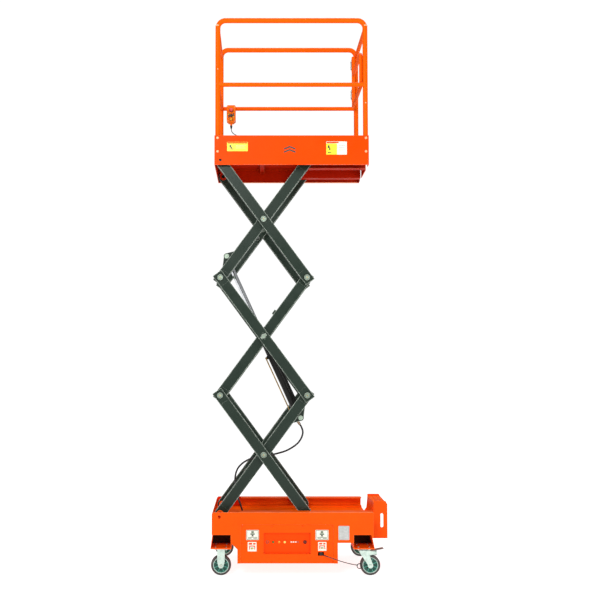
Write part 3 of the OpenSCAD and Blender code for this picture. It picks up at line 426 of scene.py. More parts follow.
def hex_bolt(bm, at, axis, across, head, washer):
    """Hexagon head with a chamfered top on a washer; `at` is on the clamped face."""
    at, up = Vector(at), Vector(axis).normalized()
    w = 0.0016
    lathe(bm, at, up, [(0, 0), (washer, 0), (washer, w * 0.7), (washer - 0.0006, w), (0, w)], 32)
    r = across / 2 / math.cos(math.pi / 6)
    lathe(bm, at + up * w, up, [(0, 0), (r, 0), (r, head * 0.82), (r * 0.86, head), (r * 0.5, head),
                                (r * 0.46, head * 0.9), (0, head * 0.9)], 6)


def pan_screw(bm, at, axis, r, index=0):
    """Pan-head screw with a socket."""
    h = r * 0.62
    lathe(bm, at, axis, [(0, 0), (r, 0), (r, h * 0.25), (r * 0.9, h * 0.72), (r * 0.62, h),
                         (r * 0.42, h), (r * 0.38, h * 0.45), (0, h * 0.4)], 20, index)


def curve_tube(name, points, radius, mat):
    """Round cord along points."""
    data = bpy.data.curves.new(name, "CURVE")
    data.dimensions = "3D"
    data.bevel_depth = radius
    data.bevel_resolution = 5
    data.use_fill_caps = True
    data.resolution_u = 6
    spline = data.splines.new("NURBS")
    spline.points.add(len(points) - 1)
    for p, q in zip(spline.points, points):
        p.co = (*q, 1)
    spline.order_u = 3
    spline.use_endpoint_u = True
    data.materials.append(mat)
    obj = bpy.data.objects.new(name, data)
    bpy.context.scene.collection.objects.link(obj)
    return obj


def catmull(points, steps=2):
    """Smooth curve through points, with `steps` stretches between each two."""
    out = []
    for i in range(len(points) - 1):
        a, b = points[max(i - 1, 0)], points[i]
        c, d = points[i + 1], points[min(i + 2, len(points) - 1)]
        for k in range(steps):
            u = k / steps
            out.append(tuple(
                0.5 * (2 * b[j] + (c[j] - a[j]) * u + (2 * a[j] - 5 * b[j] + 4 * c[j] - d[j]) * u * u
                       + (3 * b[j] - a[j] - 3 * c[j] + d[j]) * u ** 3) for j in range(3)))
    out.append(tuple(points[-1]))
    return out


def metres(points, lift=0.0):
    """Millimetre points in metres, raised by lift."""
    return [(x / 1000, y / 1000, z / 1000 + lift) for x, y, z in points]


# ---- Cords ----
CABLE = catmull(metres([
    [-541, 238, 345], [-541, 238, 325], [-538, 238, 306], [-529, 239, 290], [-514, 241, 279],
    [-496, 244, 270], [-478, 248, 259], [-462, 252, 244], [-450, 257, 225], [-443, 263, 203],
    [-440, 269, 178], [-439, 274, 152], [-440, 278, 125], [-440, 279, 102]], DECK))
PULL = catmull(metres([
    [150, -345, 170], [156, -362, 168], [168, -376, 164], [186, -387, 159], [208, -396, 153],
    [232, -404, 146], [258, -411, 138.5], [285, -417, 131], [312, -422, 124], [338, -426, 118],
    [362, -429, 113], [384, -431, 109.5], [398, -432, 107.5]]))
HOSE = metres([
    [-436, -12, 385], [-440, -12, 420], [-456, -12, 470], [-478, -12, 530], [-492, -12, 590],
    [-498, -12, 650], [-494, -12, 705], [-476, -12, 752], [-446, -12, 786], [-408, -12, 812],
    [-366, -12, 830], [-310, -12, 842], [-250, -12, 850], [-200, -12, 860], [-150, -12, 872],
    [-100, -12, 888], [-50, -12, 914], [-6, -12, 948], [22, -12, 988], [34, -12, 1032],
    [24, -12, 1072], [4, -12, 1104], [-14, -12, 1128]])
HOSE_SPLIT = 11      # the hose is clipped to the arm here

cable = curve_tube("handset_lead", CABLE, 0.0035, CABLE_GREY)
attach(cable, "platform")
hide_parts("handset_cable")

pull = curve_tube("release_cable", PULL, 0.003, RUBBER)
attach(pull, "release_pull")
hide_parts("pull_cable")


def hose_run(name, points, radius=0.007, sides=20):
    """Mesh hose along points that all have the same Y, with flat closed ends."""
    fine = [Vector(p) for p in catmull(points, 6)]
    bm = bmesh.new()
    rows = []
    for i, p in enumerate(fine):
        t = (fine[min(i + 1, len(fine) - 1)] - fine[max(i - 1, 0)]).normalized()
        a = Vector((0, 1, 0))
        b = t.cross(a)
        rows.append([
            bm.verts.new(p + radius * (
                math.cos(math.tau * k / sides) * a + math.sin(math.tau * k / sides) * b))
            for k in range(sides)
        ])
    for r0, r1 in zip(rows, rows[1:]):
        for k in range(sides):
            j = (k + 1) % sides
            bm.faces.new((r0[k], r0[j], r1[j], r1[k]))
    bm.faces.new(rows[0])
    bm.faces.new(rows[-1])
    return link_mesh(name, bm, RUBBER, 40)


hose_low = hose_run("hose_lower_run", HOSE[:HOSE_SPLIT + 1])
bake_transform(hose_low)
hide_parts("hydraulic_hose")
hose_high = hose_run("hose_upper_run", HOSE[HOSE_SPLIT:])
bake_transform(hose_high)

# ---- CAD nodes: finish ----
FINISH = {
    "chassis_side_near": ORANGE, "chassis_side_far": ORANGE, "chassis_tray": TRAY_LIT,
    "lower_box_pan": ORANGE, "box_cover_near": COVER, "box_cover_far": COVER,
    "indicator_panel": RECESS_SHADE_AND_PRINT, "panel_fittings": BLACK_PLASTIC, "caster_brackets": ORANGE,
    "rigid_caster_forks": FORK, "swivel_caster_plates": FORK, "caster_fasteners": ZINC,
    "base_pivot_pins": PIN_RED, "battery": BLACK_PLASTIC, "pump_motor": BLACK, "oil_tank": BLACK,
    "valve_block": ZINC, "battery_charger": GREY_PLASTIC, "step_bracket": ORANGE,
    "pull_ring": BLACK, "inner_arms_lower": GREEN, "inner_arms_middle": GREEN,
    "inner_arms_upper": GREEN, "outer_arms_lower": GREEN, "outer_arms_middle": GREEN,
    "outer_arms_upper": GREEN, "pins_inner_lower": PIN_ZINC, "pins_inner_middle": PIN_ZINC,
    "pins_inner_upper": PIN_ZINC, "pins_outer_lower": PIN_ZINC, "pins_outer_middle": PIN_ZINC,
    "pins_outer_upper": BLACK, "base_rollers": NYLON, "platform_rollers": NYLON,
    "cylinder_barrel": BLACK, "cylinder_rod": CHROME, "rod_eye": BLACK, "transfer_pipe": BRASS,
    "platform_deck": DECK_STEEL, "toe_boards": ORANGE_TOE_SHADED, "platform_beams": UNDERSIDE_SHADE,
    "guard_rails": ORANGE_TUBE, "platform_fittings": COLLAR_HIGHLIGHT, "gate": ORANGE_TUBE,
    "handset": ORANGE_PLASTIC, "handset_stop": RED, "handset_up": BLACK_PLASTIC,
    "handset_down": YELLOW, "swivel_fork_near": FORK, "swivel_fork_far": FORK,
    "brake_pedal_near": ZINC_DARK, "brake_pedal_far": ZINC_DARK,
}
for name, finish in FINISH.items():
    node = NODES[name]
    for i in range(max(1, len(node.data.materials))):
        if i < len(node.data.materials):
            node.data.materials[i] = finish
        else:
            node.data.materials.append(finish)

# The keeper plates of the stub pins are painted like the arms
KEEPER_Y, KEEPER_HALF = 0.2722, 0.0024
keeper = NODES["pins_outer_middle"].data
keeper.materials.append(GREEN)
for face in keeper.polygons:
    in_plate = abs(abs(face.center.y) - KEEPER_Y) < KEEPER_HALF
    off_pin = abs(face.center.z - pivot(2, 0).z) > 0.1
    face.material_index = 1 if in_plate and off_pin else 0


def paint_faces(node, finish, chosen):
    """Paint the faces that chosen(centre, normal, area) picks."""
    mesh = NODES[node].data
    mesh.materials.append(finish)
    for face in mesh.polygons:
        if chosen(face.center, face.normal, face.area):
            face.material_index = len(mesh.materials) - 1


LIP_HIGHLIGHT_DEPTH = 0.006
LIP_HIGHLIGHT_END_X = 0.45
BAY_AREA = 0.002
# Painted highlight on the top faces of the near wall's flange, up to x = 0.45 m
paint_faces("chassis_side_near", LIP_HIGHLIGHT,
            lambda c, n, a: n.z > 0.9 and c.z > SIDE_HIGH.z - LIP_HIGHLIGHT_DEPTH and c.x < LIP_HIGHLIGHT_END_X)
# Painted shade on the faces of the far wall that look inward
paint_faces("chassis_side_far", WALL_INSIDE_SHADE, lambda c, n, a: n.y < -0.5)
# Painted shade on the downward faces of the deck
paint_faces("platform_deck", UNDERSIDE_SHADE, lambda c, n, a: n.z < -0.5)
# Painted shade on the back webs of the caster bays
paint_faces("caster_brackets", BAY_SHADE, lambda c, n, a: n.y < -0.6 and a > BAY_AREA)


def paint_shade_inside(mat, top, colour):
    """Painted shade: a darker colour below the height `top`, on faces that look towards the middle."""
    s = Shader(mat.name, mat)
    paint = s.bsdf.inputs["Base Color"].links[0].from_socket
    level = s.new("ShaderNodeVectorMath", operation="MULTIPLY")
    level.inputs[1].default_value = (1, 1, 0)
    s.link(s.coords, level.inputs[0])
    facing = s.new("ShaderNodeVectorMath", operation="DOT_PRODUCT")
    s.link(level.outputs[0], facing.inputs[0])
    s.link(s.new("ShaderNodeNewGeometry").outputs["Normal"], facing.inputs[1])
    inward = s.math("LESS_THAN", facing.outputs["Value"], -0.05)
    height = s.new("ShaderNodeSeparateXYZ")
    s.link(s.coords, height.inputs[0])
    below = s.remap(height.outputs["Z"], top - 0.004, top, 0.92, 0.0)
    s.link(s.mix(s.math("MULTIPLY", inward, below), paint, colour), s.bsdf.inputs["Base Color"])


# Painted shade on the toe boards' inner faces below the deck
paint_shade_inside(ORANGE_TOE_SHADED, DECK_LOW.z, (0.40, 0.008, 0.0))

# ---- Floor and light ----
bm = bmesh.new()
bmesh.ops.create_grid(bm, x_segments=2, y_segments=2, size=40)
mesh = bpy.data.meshes.new("floor")
bm.to_mesh(mesh)
bm.free()
floor = bpy.data.objects.new("floor", mesh)
bpy.context.scene.collection.objects.link(floor)
s = Shader("floor_paper")
grey = s.mix(s.remap(s.noise(0.7, 3), 0.3, 0.7, 0, 1), (0.44, 0.44, 0.44), (0.47, 0.47, 0.47))
s.link(grey, s.bsdf.inputs["Base Color"])
s.set(Roughness=0.8, Emission_Color=(1, 1, 1, 1), Emission_Strength=0.85)
mesh.materials.append(s.mat)

world = bpy.data.worlds.new("studio")
bpy.context.scene.world = world
world.use_nodes = True
tree = world.node_tree
soft = tree.nodes["Background"]
soft.inputs[0].default_value = (1, 1, 1, 1)
soft.inputs[1].default_value = 0.36
paper = tree.nodes.new("ShaderNodeBackground")
paper.inputs[0].default_value = (1, 1, 1, 1)
paper.inputs[1].default_value = 1.05
both = tree.nodes.new("ShaderNodeMixShader")
tree.links.new(tree.nodes.new("ShaderNodeLightPath").outputs["Is Camera Ray"], both.inputs[0])
tree.links.new(soft.outputs[0], both.inputs[1])
tree.links.new(paper.outputs[0], both.inputs[2])
tree.links.new(both.outputs[0], tree.nodes["World Output"].inputs[0])
bpy.context.scene.view_settings.view_transform = "Standard"


def area_light(name, at, target, size, power):
    """Square light at `at` that looks at target."""
    data = bpy.data.lights.new(name, "AREA")
    data.shape = "SQUARE"
    data.size = size
    data.energy = power
    light = bpy.data.objects.new(name, data)
    light.location = at
    light.rotation_euler = (Vector(target) - Vector(at)).to_track_quat("-Z", "Y").to_euler()
    bpy.context.scene.collection.objects.link(light)


area_light("key", (-2.5, -6.5, 5.5), (-0.1, 0, 2.0), 2.6, 330)
area_light("fill", (3.5, -6.0, 2.0), (0, 0, 1.6), 3.0, 120)
area_light("top", (0.5, 1.0, 8.5), (0, 0, 2.0), 4.0, 300)

# ---- Soft edges on the CAD nodes ----
EDGE = {
    0.004: ["inner_arms_lower", "inner_arms_middle", "inner_arms_upper",
            "outer_arms_lower", "outer_arms_middle", "outer_arms_upper"],
    0.0012: ["chassis_side_near", "chassis_side_far", "chassis_tray", "lower_box_pan",
             "step_bracket", "toe_boards", "caster_brackets", "platform_beams", "rigid_caster_forks",
             "swivel_caster_plates", "swivel_fork_near", "swivel_fork_far"],
    0.0008: ["caster_fasteners", "box_cover_near", "box_cover_far", "platform_fittings",
             "pins_inner_lower", "pins_inner_middle", "pins_inner_upper", "pins_outer_lower",
             "pins_outer_middle", "pins_outer_upper", "base_pivot_pins", "indicator_panel",
             "brake_pedal_near", "brake_pedal_far", "handset_up", "handset_down",
             "cylinder_barrel", "rod_eye", "battery", "valve_block", "battery_charger", "oil_tank"],
    0.003: ["handset", "handset_stop"],
}
for width, names in EDGE.items():
    for name in names:
        mod = NODES[name].modifiers.new("edge", "BEVEL")
        mod.width = width
        mod.segments = 3
        mod.limit_method = "ANGLE"
        mod.angle_limit = math.radians(50)
        mod.use_clamp_overlap = False
        mod.harden_normals = False

# ---- Wheels ----
WHEEL_R = 0.075
RIM_R = 0.058
HUB_HALF = 0.025
WEB_HALF, WEB_R = 0.0100, 0.020
SPOKES = 8
SPOKE = ((0.0175, 0.0052, 0.0175), (0.034, 0.0036, 0.0125), (0.0525, 0.0050, 0.0140))


def wheel(name, centre, node, body):
    """Wheel of tyre, pale rim lips, ribbed core and hub seals."""
    bm = bmesh.new()
    axis = (0, 1, 0)
    tread = [(RIM_R, -0.0195), (0.064, -0.0208), (0.0705, -0.0205), (0.0728, -0.0188), (0.0742, -0.0145),
             (0.0749, -0.007), (WHEEL_R, 0), (0.0749, 0.007), (0.0742, 0.0145), (0.0728, 0.0188),
             (0.0705, 0.0205), (0.064, 0.0208), (RIM_R, 0.0195)]
    loop_lathe(bm, centre, axis, tread, 96, 0)
    for side in (-1, 1):
        lip = [(RIM_R - 0.0002, side * 0.0190), (RIM_R - 0.0002, side * 0.0206),
               (RIM_R - 0.0022, side * 0.0212), (RIM_R - 0.0042, side * 0.0200),
               (RIM_R - 0.0044, side * 0.0170)]
        loop_lathe(bm, centre, axis, lip, 96, 2)
    rim = [(RIM_R - 0.0004, -0.0188), (RIM_R - 0.0004, 0.0188), (RIM_R - 0.0065, 0.0165),
           (RIM_R - 0.0085, 0.004), (0.024, 0.0030), (0.020, 0.0075), (0.0185, HUB_HALF - 0.003),
           (0.0165, HUB_HALF), (0.0062, HUB_HALF), (0.0062, -HUB_HALF), (0.0165, -HUB_HALF),
           (0.0185, 0.003 - HUB_HALF), (0.020, -0.0075), (0.024, -0.0030), (RIM_R - 0.0085, -0.004),
           (RIM_R - 0.0065, -0.0165)]
    start = len(bm.faces)
    loop_lathe(bm, centre, axis, rim, 96, 1)
    bm.faces.ensure_lookup_table()
    # the recessed web between the ribs gets the darker core colour: painted shade
    for f in bm.faces[start:]:
        away = f.calc_center_median() - Vector(centre)
        if abs(away.y) < WEB_HALF and Vector((away.x, away.z)).length > WEB_R:
            f.material_index = 4
    for k in range(SPOKES):
        turn = Matrix.Translation(centre) @ Matrix.Rotation(math.tau * (k + 0.5) / SPOKES, 4, "Y")
        for side in (-1, 1):
            start = len(bm.faces)
            rows = []
            for r, wide, deep in SPOKE:
                rows.append([bm.verts.new(turn @ Vector((x, side * y, r))) for x, y in (
                    (-wide, 0.0022), (-wide * 0.7, deep * 0.93), (0, deep),
                    (wide * 0.7, deep * 0.93), (wide, 0.0022))])
            for a, b in zip(rows, rows[1:]):
                for i in range(5):
                    j = (i + 1) % 5
                    bm.faces.new((a[i], a[j], b[j], b[i]))
            bm.faces.new(rows[0])
            bm.faces.new(rows[-1])
            tag(bm, start, 1)
    for side in (-1, 1):
        loop_lathe(bm, Vector(centre) + Vector((0, side * (HUB_HALF - 0.0012), 0)), axis,
                   [(0.0068, -0.0008), (0.0150, -0.0008), (0.0146, 0.0008), (0.0110, 0.0011),
                    (0.0068, 0.0008)], 48, 3)
    finish_mesh(name, bm, [TYRE, CORE, RIM_PALE, ZINC, CORE_WEB_SHADE], body, 38, replaces=[node])


for end in ("near", "far"):
    low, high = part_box("rigid_wheel_" + end)
    wheel("wheel_rigid_%s_tyre" % end, (low + high) / 2, "rigid_wheel_" + end, "wheel_rigid_" + end)
    low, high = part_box("swivel_wheel_" + end)
    wheel("wheel_swivel_%s_tyre" % end, (low + high) / 2, "swivel_wheel_" + end, "wheel_swivel_" + end)

# ---- Caster details: race seals and pedal ribs; the grease nipple shape used on the pins ----
SWIVEL_X, WHEEL_Y = 0.464, 0.290
RACE_Z = 0.1865
PEDAL_X, PEDAL_Z, PEDAL_SLOPE = 0.556, 0.1885, 0.190
RIBS, RIB_PITCH, RIB_HALF = 6, 0.0080, 0.019


def nipple(bm, at, axis, index):
    """Grease nipple: collar, neck and ball."""
    lathe(bm, at, axis, [(0, 0), (0.0045, 0), (0.0045, 0.003), (0.0026, 0.0036), (0.0022, 0.0058),
                         (0.0030, 0.0068), (0.0026, 0.0080), (0, 0.0084)], 18, index)


bm = bmesh.new()
for s in (-1, 1):
    at = Vector((SWIVEL_X, s * WHEEL_Y, RACE_Z))
    loop_lathe(bm, at, (0, 0, 1), [(0.0325, 0), (0.0352, 0.0012), (0.0360, 0.0060), (0.0350, 0.0105),
                                   (0.0325, 0.0120)], 64, 0)
    loop_lathe(bm, at, (0, 0, 1), [(0.0325, 0.0122), (0.0368, 0.0122), (0.0368, 0.0142),
                                   (0.0325, 0.0142)], 64, 1)
finish_mesh("caster_race_seals", bm, [BLACK_PLASTIC, FORK], "base")
for end, s in (("near", -1), ("far", 1)):
    bm = bmesh.new()
    for k in range(RIBS):
        x = 0.5640 + k * RIB_PITCH
        z = PEDAL_Z + (x - PEDAL_X) * PEDAL_SLOPE + 0.0012
        add_box(bm, (x, s * WHEEL_Y - RIB_HALF, z - 0.0012),
                (x + 0.0030, s * WHEEL_Y + RIB_HALF, z + 0.0008), 0, 0.0005)
    finish_mesh("pedal_ribs_" + end, bm, ZINC_DARK, "pedal_" + end)

# ---- Weld seams and screws of the chassis ----
BAY_TOP = 0.2150
FOOT_Z, FOOT_RISE = 0.395, 0.018
WALL_SCREW_Y = 0.3598
SCREW_LOW, SCREW_MIDDLE, SCREW_HIGH = 0.114, 0.243, 0.371
COVER_FACE = -0.3452
END_PLATE_X = 0.5384
bm = bmesh.new()
for s in (-1, 1):
    y = s * 0.3562
    for x in (-0.652, -0.521, 0.390, 0.518):
        seam(bm, (x, s * 0.352, BAY_TOP), (x, s * 0.202, BAY_TOP), 0.0022)
    seam(bm, (-0.655, y - s * 0.002, 0.3945), (0.528, y - s * 0.002, 0.3945), 0.0020)
    seam(bm, (-0.6560, s * 0.3545, 0.310), (-0.6560, s * 0.3545, 0.456), 0.0020)
    for x in (-0.632, -0.578):
        for y0 in (0.1690, 0.1812, 0.2290, 0.2412):
            seam(bm, (x, s * y0, FOOT_Z), (x + 0.0001, s * y0, FOOT_Z + FOOT_RISE), 0.0016)
for x in (0.5388, 0.5655):
    for s in (-1, 1):
        seam(bm, (x, s * 0.1655, 0.250), (x, s * 0.1655, 0.380), 0.0018)
finish_mesh("chassis_welds", bm, ORANGE, "base", 60)

bm = bmesh.new()
for s in (-1, 1):
    y = s * WALL_SCREW_Y
    for x in (-0.434, 0.227):
        for z in (SCREW_LOW, SCREW_MIDDLE, SCREW_HIGH):
            pan_screw(bm, (x, y, z), (0, s, 0), 0.0050)
    for x in (-0.215, 0.010):
        pan_screw(bm, (x, y, SCREW_HIGH), (0, s, 0), 0.0050)
        pan_screw(bm, (x, y, SCREW_LOW), (0, s, 0), 0.0050)
for x, z in ((-0.268, 0.178), (0.062, 0.178), (-0.268, 0.315), (0.062, 0.315)):
    pan_screw(bm, (x, COVER_FACE, z), (0, -1, 0), 0.0036)
for y in (-0.120, -0.040, 0.040, 0.120):
    for z in (0.285, 0.350):
        hex_bolt(bm, (END_PLATE_X, y, z), (1, 0, 0), 0.013, 0.0055, 0.0105)
finish_mesh("chassis_screws", bm, SCREW_COAT, "base", 32)

# ---- Charging panel: three lamps, socket, four bars and a ring ----
PANEL_Y, PANEL_Z = -0.3450, 0.254
OUTWARD = (0, -1, 0)
SOCKET_X, CONTACT_R = 0.029, 0.0042
BARS, BAR_X, BAR_PITCH, BAR_W = 4, -0.078, 0.0165, 0.011
bm = bmesh.new()
for x, r, lens in ((-0.206, 0.0105, 0), (-0.162, 0.0125, 1), (-0.121, 0.0125, 2)):
    at = (x, PANEL_Y, PANEL_Z)
    loop_lathe(bm, at, OUTWARD, [(r * 0.72, 0), (r, 0), (r, 0.0022), (r * 0.93, 0.0042),
                                 (r * 0.74, 0.0042)], 40, 3)
    lathe(bm, at, OUTWARD, [(0, 0), (r * 0.73, 0), (r * 0.73, 0.0035), (r * 0.66, 0.0062),
                            (r * 0.50, 0.0083), (r * 0.26, 0.0096), (0, 0.0100)], 32, lens)
at = (SOCKET_X, PANEL_Y, PANEL_Z)
loop_lathe(bm, at, OUTWARD, [(0.0085, 0), (0.0135, 0), (0.0135, 0.0030), (0.0125, 0.0048),
                             (0.0095, 0.0052), (0.0085, 0.0030)], 48, 4)
lathe(bm, at, OUTWARD, [(0, 0), (0.0086, 0), (0.0086, 0.0012), (0, 0.0012)], 32, 4)
for k in range(3):
    t = math.tau * k / 3 + 0.5
    contact = (SOCKET_X + CONTACT_R * math.cos(t), PANEL_Y - 0.001, PANEL_Z + CONTACT_R * math.sin(t))
    lathe(bm, contact, OUTWARD, [(0, 0), (0.0012, 0), (0.0012, 0.0026), (0, 0.0030)], 10, 5)
for k in range(BARS):
    x = BAR_X + k * BAR_PITCH
    add_box(bm, (x, PANEL_Y - 0.0005, 0.250), (x + BAR_W, PANEL_Y + 0.0005, 0.258), 6, 0.0002)
loop_lathe(bm, (-0.250, PANEL_Y, PANEL_Z), OUTWARD, [(0.0078, 0), (0.0110, 0), (0.0110, 0.0010),
                                                     (0.0078, 0.0010)], 40, 7)
finish_mesh("charge_panel_fittings", bm,
            [LENS_GREEN, LENS_AMBER, LENS_YELLOW, SCREW_COAT, SOCKET_RED, BRASS, STICKER, STICKER_INK],
            "base", 35, replaces=["panel_fittings"])


# ---- Plates and stickers, with plain shapes in place of any words ----
def plate(name, rect, y, side, body, layers, mats):
    """Stack of thin rounded sheets on a wall at y; layers are (x0, x1, z0, z1, level, material)."""
    x0, x1, z0, z1 = rect
    bm = bmesh.new()
    for a, b, c, d, level, index in [(0, 1, 0, 1, 0, 0)] + layers:
        lo = (x0 + a * (x1 - x0), z0 + c * (z1 - z0))
        hi = (x0 + b * (x1 - x0), z0 + d * (z1 - z0))
        near = y + side * (0.0004 + 0.00035 * (level + 1))
        back = y + side * 0.0001
        radius = min(0.004 if level == 0 else 0.0012, (hi[0] - lo[0]) * 0.4, (hi[1] - lo[1]) * 0.4)
        start = len(bm.faces)
        ring = []
        for cx, cz, t0 in ((hi[0] - radius, hi[1] - radius, 0), (lo[0] + radius, hi[1] - radius, 90),
                           (lo[0] + radius, lo[1] + radius, 180), (hi[0] - radius, lo[1] + radius, 270)):
            for k in range(5):
                t = math.radians(t0 + k * 22.5)
                ring.append((cx + radius * math.cos(t), cz + radius * math.sin(t)))
        front = [bm.verts.new((px, near, pz)) for px, pz in ring]
        rear = [bm.verts.new((px, back, pz)) for px, pz in ring]
        bm.faces.new(front)
        bm.faces.new(rear)
        for i in range(len(ring)):
            j = (i + 1) % len(ring)
            bm.faces.new((front[i], front[j], rear[j], rear[i]))
        tag(bm, start, index)
    return finish_mesh(name, bm, mats, body, 30)


WALL = -0.3600
LARGE = [(0.03, 0.97, 0.03, 0.97, 1, 1), (0.07, 0.93, 0.07, 0.93, 2, 0), (0.40, 0.60, 0.70, 0.88, 3, 1),
         (0.33, 0.67, 0.52, 0.66, 3, 1), (0.43, 0.57, 0.36, 0.50, 3, 2), (0.14, 0.86, 0.24, 0.30, 3, 1),
         (0.14, 0.42, 0.13, 0.18, 3, 1), (0.55, 0.86, 0.13, 0.18, 3, 2)]
SMALL = [(0.04, 0.96, 0.04, 0.96, 1, 0), (0.12, 0.50, 0.72, 0.90, 2, 1), (0.62, 0.88, 0.72, 0.90, 2, 1),
         (0.16, 0.84, 0.20, 0.62, 2, 1), (0.26, 0.74, 0.20, 0.52, 3, 0), (0.36, 0.64, 0.24, 0.40, 4, 2),
         (0.42, 0.58, 0.27, 0.34, 5, 3)]
for tag_name, x0, x1 in (("left", -0.405, -0.312), ("right", 0.105, 0.202)):
    plate("sign_large_" + tag_name, (x0, x1, 0.272, 0.345), WALL, -1, "base", LARGE,
          [STICKER, STICKER_FRAME, STICKER_INK])
for tag_name, rect in (("left", (-0.394, -0.329, 0.189, 0.257)), ("right", (0.124, 0.186, 0.193, 0.257))):
    plate("sign_small_" + tag_name, rect, WALL, -1, "base", SMALL,
          [STICKER, RECESS_SHADE_AND_PRINT, STICKER_INK, STICKER_YELLOW])
plate("data_plate", (0.275, 0.355, 0.272, 0.374), WALL, -1, "base",
      [(0.05, 0.95, 0.04, 0.96, 1, 1), (0.09, 0.91, 0.07, 0.93, 2, 0)]
      + [(0.16, 0.16 + 0.62 * (0.6 + 0.4 * (k % 2)), 0.16 + 0.11 * k, 0.19 + 0.11 * k, 3, 1)
         for k in range(7)],
      [STICKER_GREY, STICKER_PLATE_EDGE])
FACE_Y = TOE_LOW.y
plate("toe_sign_left", (-0.5535, -0.396, 3.185, 3.256), FACE_Y, -1, "platform",
      [(0.02, 0.98, 0.84, 0.97, 1, 1), (0.12, 0.20, 0.42, 0.66, 1, 2), (0.18, 0.24, 0.30, 0.46, 1, 2),
       (0.12, 0.34, 0.20, 0.26, 1, 2), (0.42, 0.90, 0.60, 0.64, 1, 3), (0.42, 0.84, 0.46, 0.50, 1, 3),
       (0.42, 0.88, 0.32, 0.36, 1, 3)],
      [STICKER_YELLOW, RECESS_SHADE_AND_PRINT, STICKER_INK, STICKER_PLATE_EDGE])
plate("toe_sign_right", (0.2006, 0.3576, 3.159, 3.260), FACE_Y, -1, "platform",
      [(0.0, 0.52, 0.0, 0.84, 1, 1), (0.02, 0.60, 0.86, 0.97, 1, 2), (0.08, 0.16, 0.50, 0.70, 2, 3),
       (0.14, 0.20, 0.34, 0.52, 2, 3), (0.08, 0.24, 0.12, 0.18, 2, 3), (0.60, 0.92, 0.66, 0.70, 1, 4),
       (0.60, 0.88, 0.50, 0.54, 1, 4), (0.60, 0.92, 0.34, 0.38, 1, 4)],
      [STICKER, STICKER_YELLOW, RECESS_SHADE_AND_PRINT, STICKER_INK, STICKER_GREY])

# Generic mark on the toe board: two rising chevrons
MARK_X = -0.077
bm = bmesh.new()
for z in (3.178, 3.202):
    for s in (-1, 1):
        rows = []
        for y in (FACE_Y - 0.0009, FACE_Y - 0.0001):
            rows.append([bm.verts.new((MARK_X + px, y, z + pz)) for px, pz in (
                (0, 0.012), (0, 0.024), (s * 0.044, 0.006), (s * 0.044, -0.006))])
        bm.faces.new(rows[0])
        bm.faces.new(rows[1])
        for i in range(4):
            j = (i + 1) % 4
            bm.faces.new((rows[0][i], rows[0][j], rows[1][j], rows[1][i]))
finish_mesh("toe_board_mark", bm, STICKER_INK, "platform", 30)

# ---- Pins of the scissor: dark washers and grease nipples ----
HEAD_Y = 0.2703
NIPPLE_OUT = 0.0099


def mid(a, b):
    return (a + b) / 2


HEADS = {
    "inner_lower": [mid(pivot(0, 0), pivot(1, 1)), pivot(1, 1)],
    "outer_lower": [pivot(1, 0)],
    "outer_middle": [pivot(2, 0)],
    "inner_middle": [pivot(2, 1)],
    "inner_upper": [mid(pivot(2, 0), pivot(3, 1))],
}
for body, places in HEADS.items():
    bm = bmesh.new()
    for p in places:
        for s in (-1, 1):
            at = p + Vector((0, s * HEAD_Y, 0))
            out = (0, s, 0)
            loop_lathe(bm, at, out, [(0.0215, 0.0004), (0.0262, 0.0004), (0.0262, 0.0016),
                                     (0.0252, 0.0024), (0.0215, 0.0024)], 56, 0)
            loop_lathe(bm, at, out, [(0.0150, 0.0068), (0.0172, 0.0068), (0.0172, 0.0078),
                                     (0.0150, 0.0078)], 48, 0)
            nipple(bm, at + Vector((0, s * NIPPLE_OUT, 0)), out, 1)
    finish_mesh("pin_washers_" + body, bm, [BLACK, BRASS], body, 35)

# ---- Cylinder: gland with its screws, wiper, weld rings, fittings of the hose ----
# Centres of the cylinder's two pins, as the CAD has them
LOW_PIN = Vector((0.007717, 0, 1.157849))
HIGH_PIN = Vector((-0.559022, 0, 2.398447))
ROD_WAY = (HIGH_PIN - LOW_PIN).normalized()
BARREL_L = 0.690
GLAND_L = 0.034
GLAND_SCREWS = 8
bm = bmesh.new()
gland = LOW_PIN + ROD_WAY * (BARREL_L - GLAND_L)
loop_lathe(bm, gland, ROD_WAY, [(0.0368, 0), (0.0392, 0.002), (0.0392, 0.026), (0.0380, 0.030),
                                (0.0368, 0.030)], 64, 0)
for k in range(GLAND_SCREWS):
    turn = Matrix.Rotation(math.tau * k / GLAND_SCREWS, 3, ROD_WAY)
    out = turn @ ROD_WAY.cross(Vector((0, 1, 0))).normalized()
    lathe(bm, gland + ROD_WAY * 0.015 + out * 0.0388, out,
          [(0, 0), (0.0030, 0), (0.0026, 0.0010), (0, 0.0011)], 12, 1)
loop_lathe(bm, LOW_PIN + ROD_WAY * BARREL_L, ROD_WAY, [(0.0193, 0.0002), (0.0270, 0.0002), (0.0262, 0.0036),
                                                       (0.0215, 0.0062), (0.0194, 0.0066)], 56, 1)
bead(bm, LOW_PIN + ROD_WAY * 0.0265, ROD_WAY, 0.0338, 0.0022)
bead(bm, LOW_PIN + ROD_WAY * 0.070, ROD_WAY, 0.0340, 0.0016)
finish_mesh("cylinder_gland", bm, [BLACK, RUBBER], "barrel", 40)
bm = bmesh.new()
bead(bm, HIGH_PIN - ROD_WAY * 0.0285, ROD_WAY, 0.0216, 0.0018)
finish_mesh("rod_eye_weld", bm, BLACK, "rod_end", 60)
TRAY_TOP = 0.3935


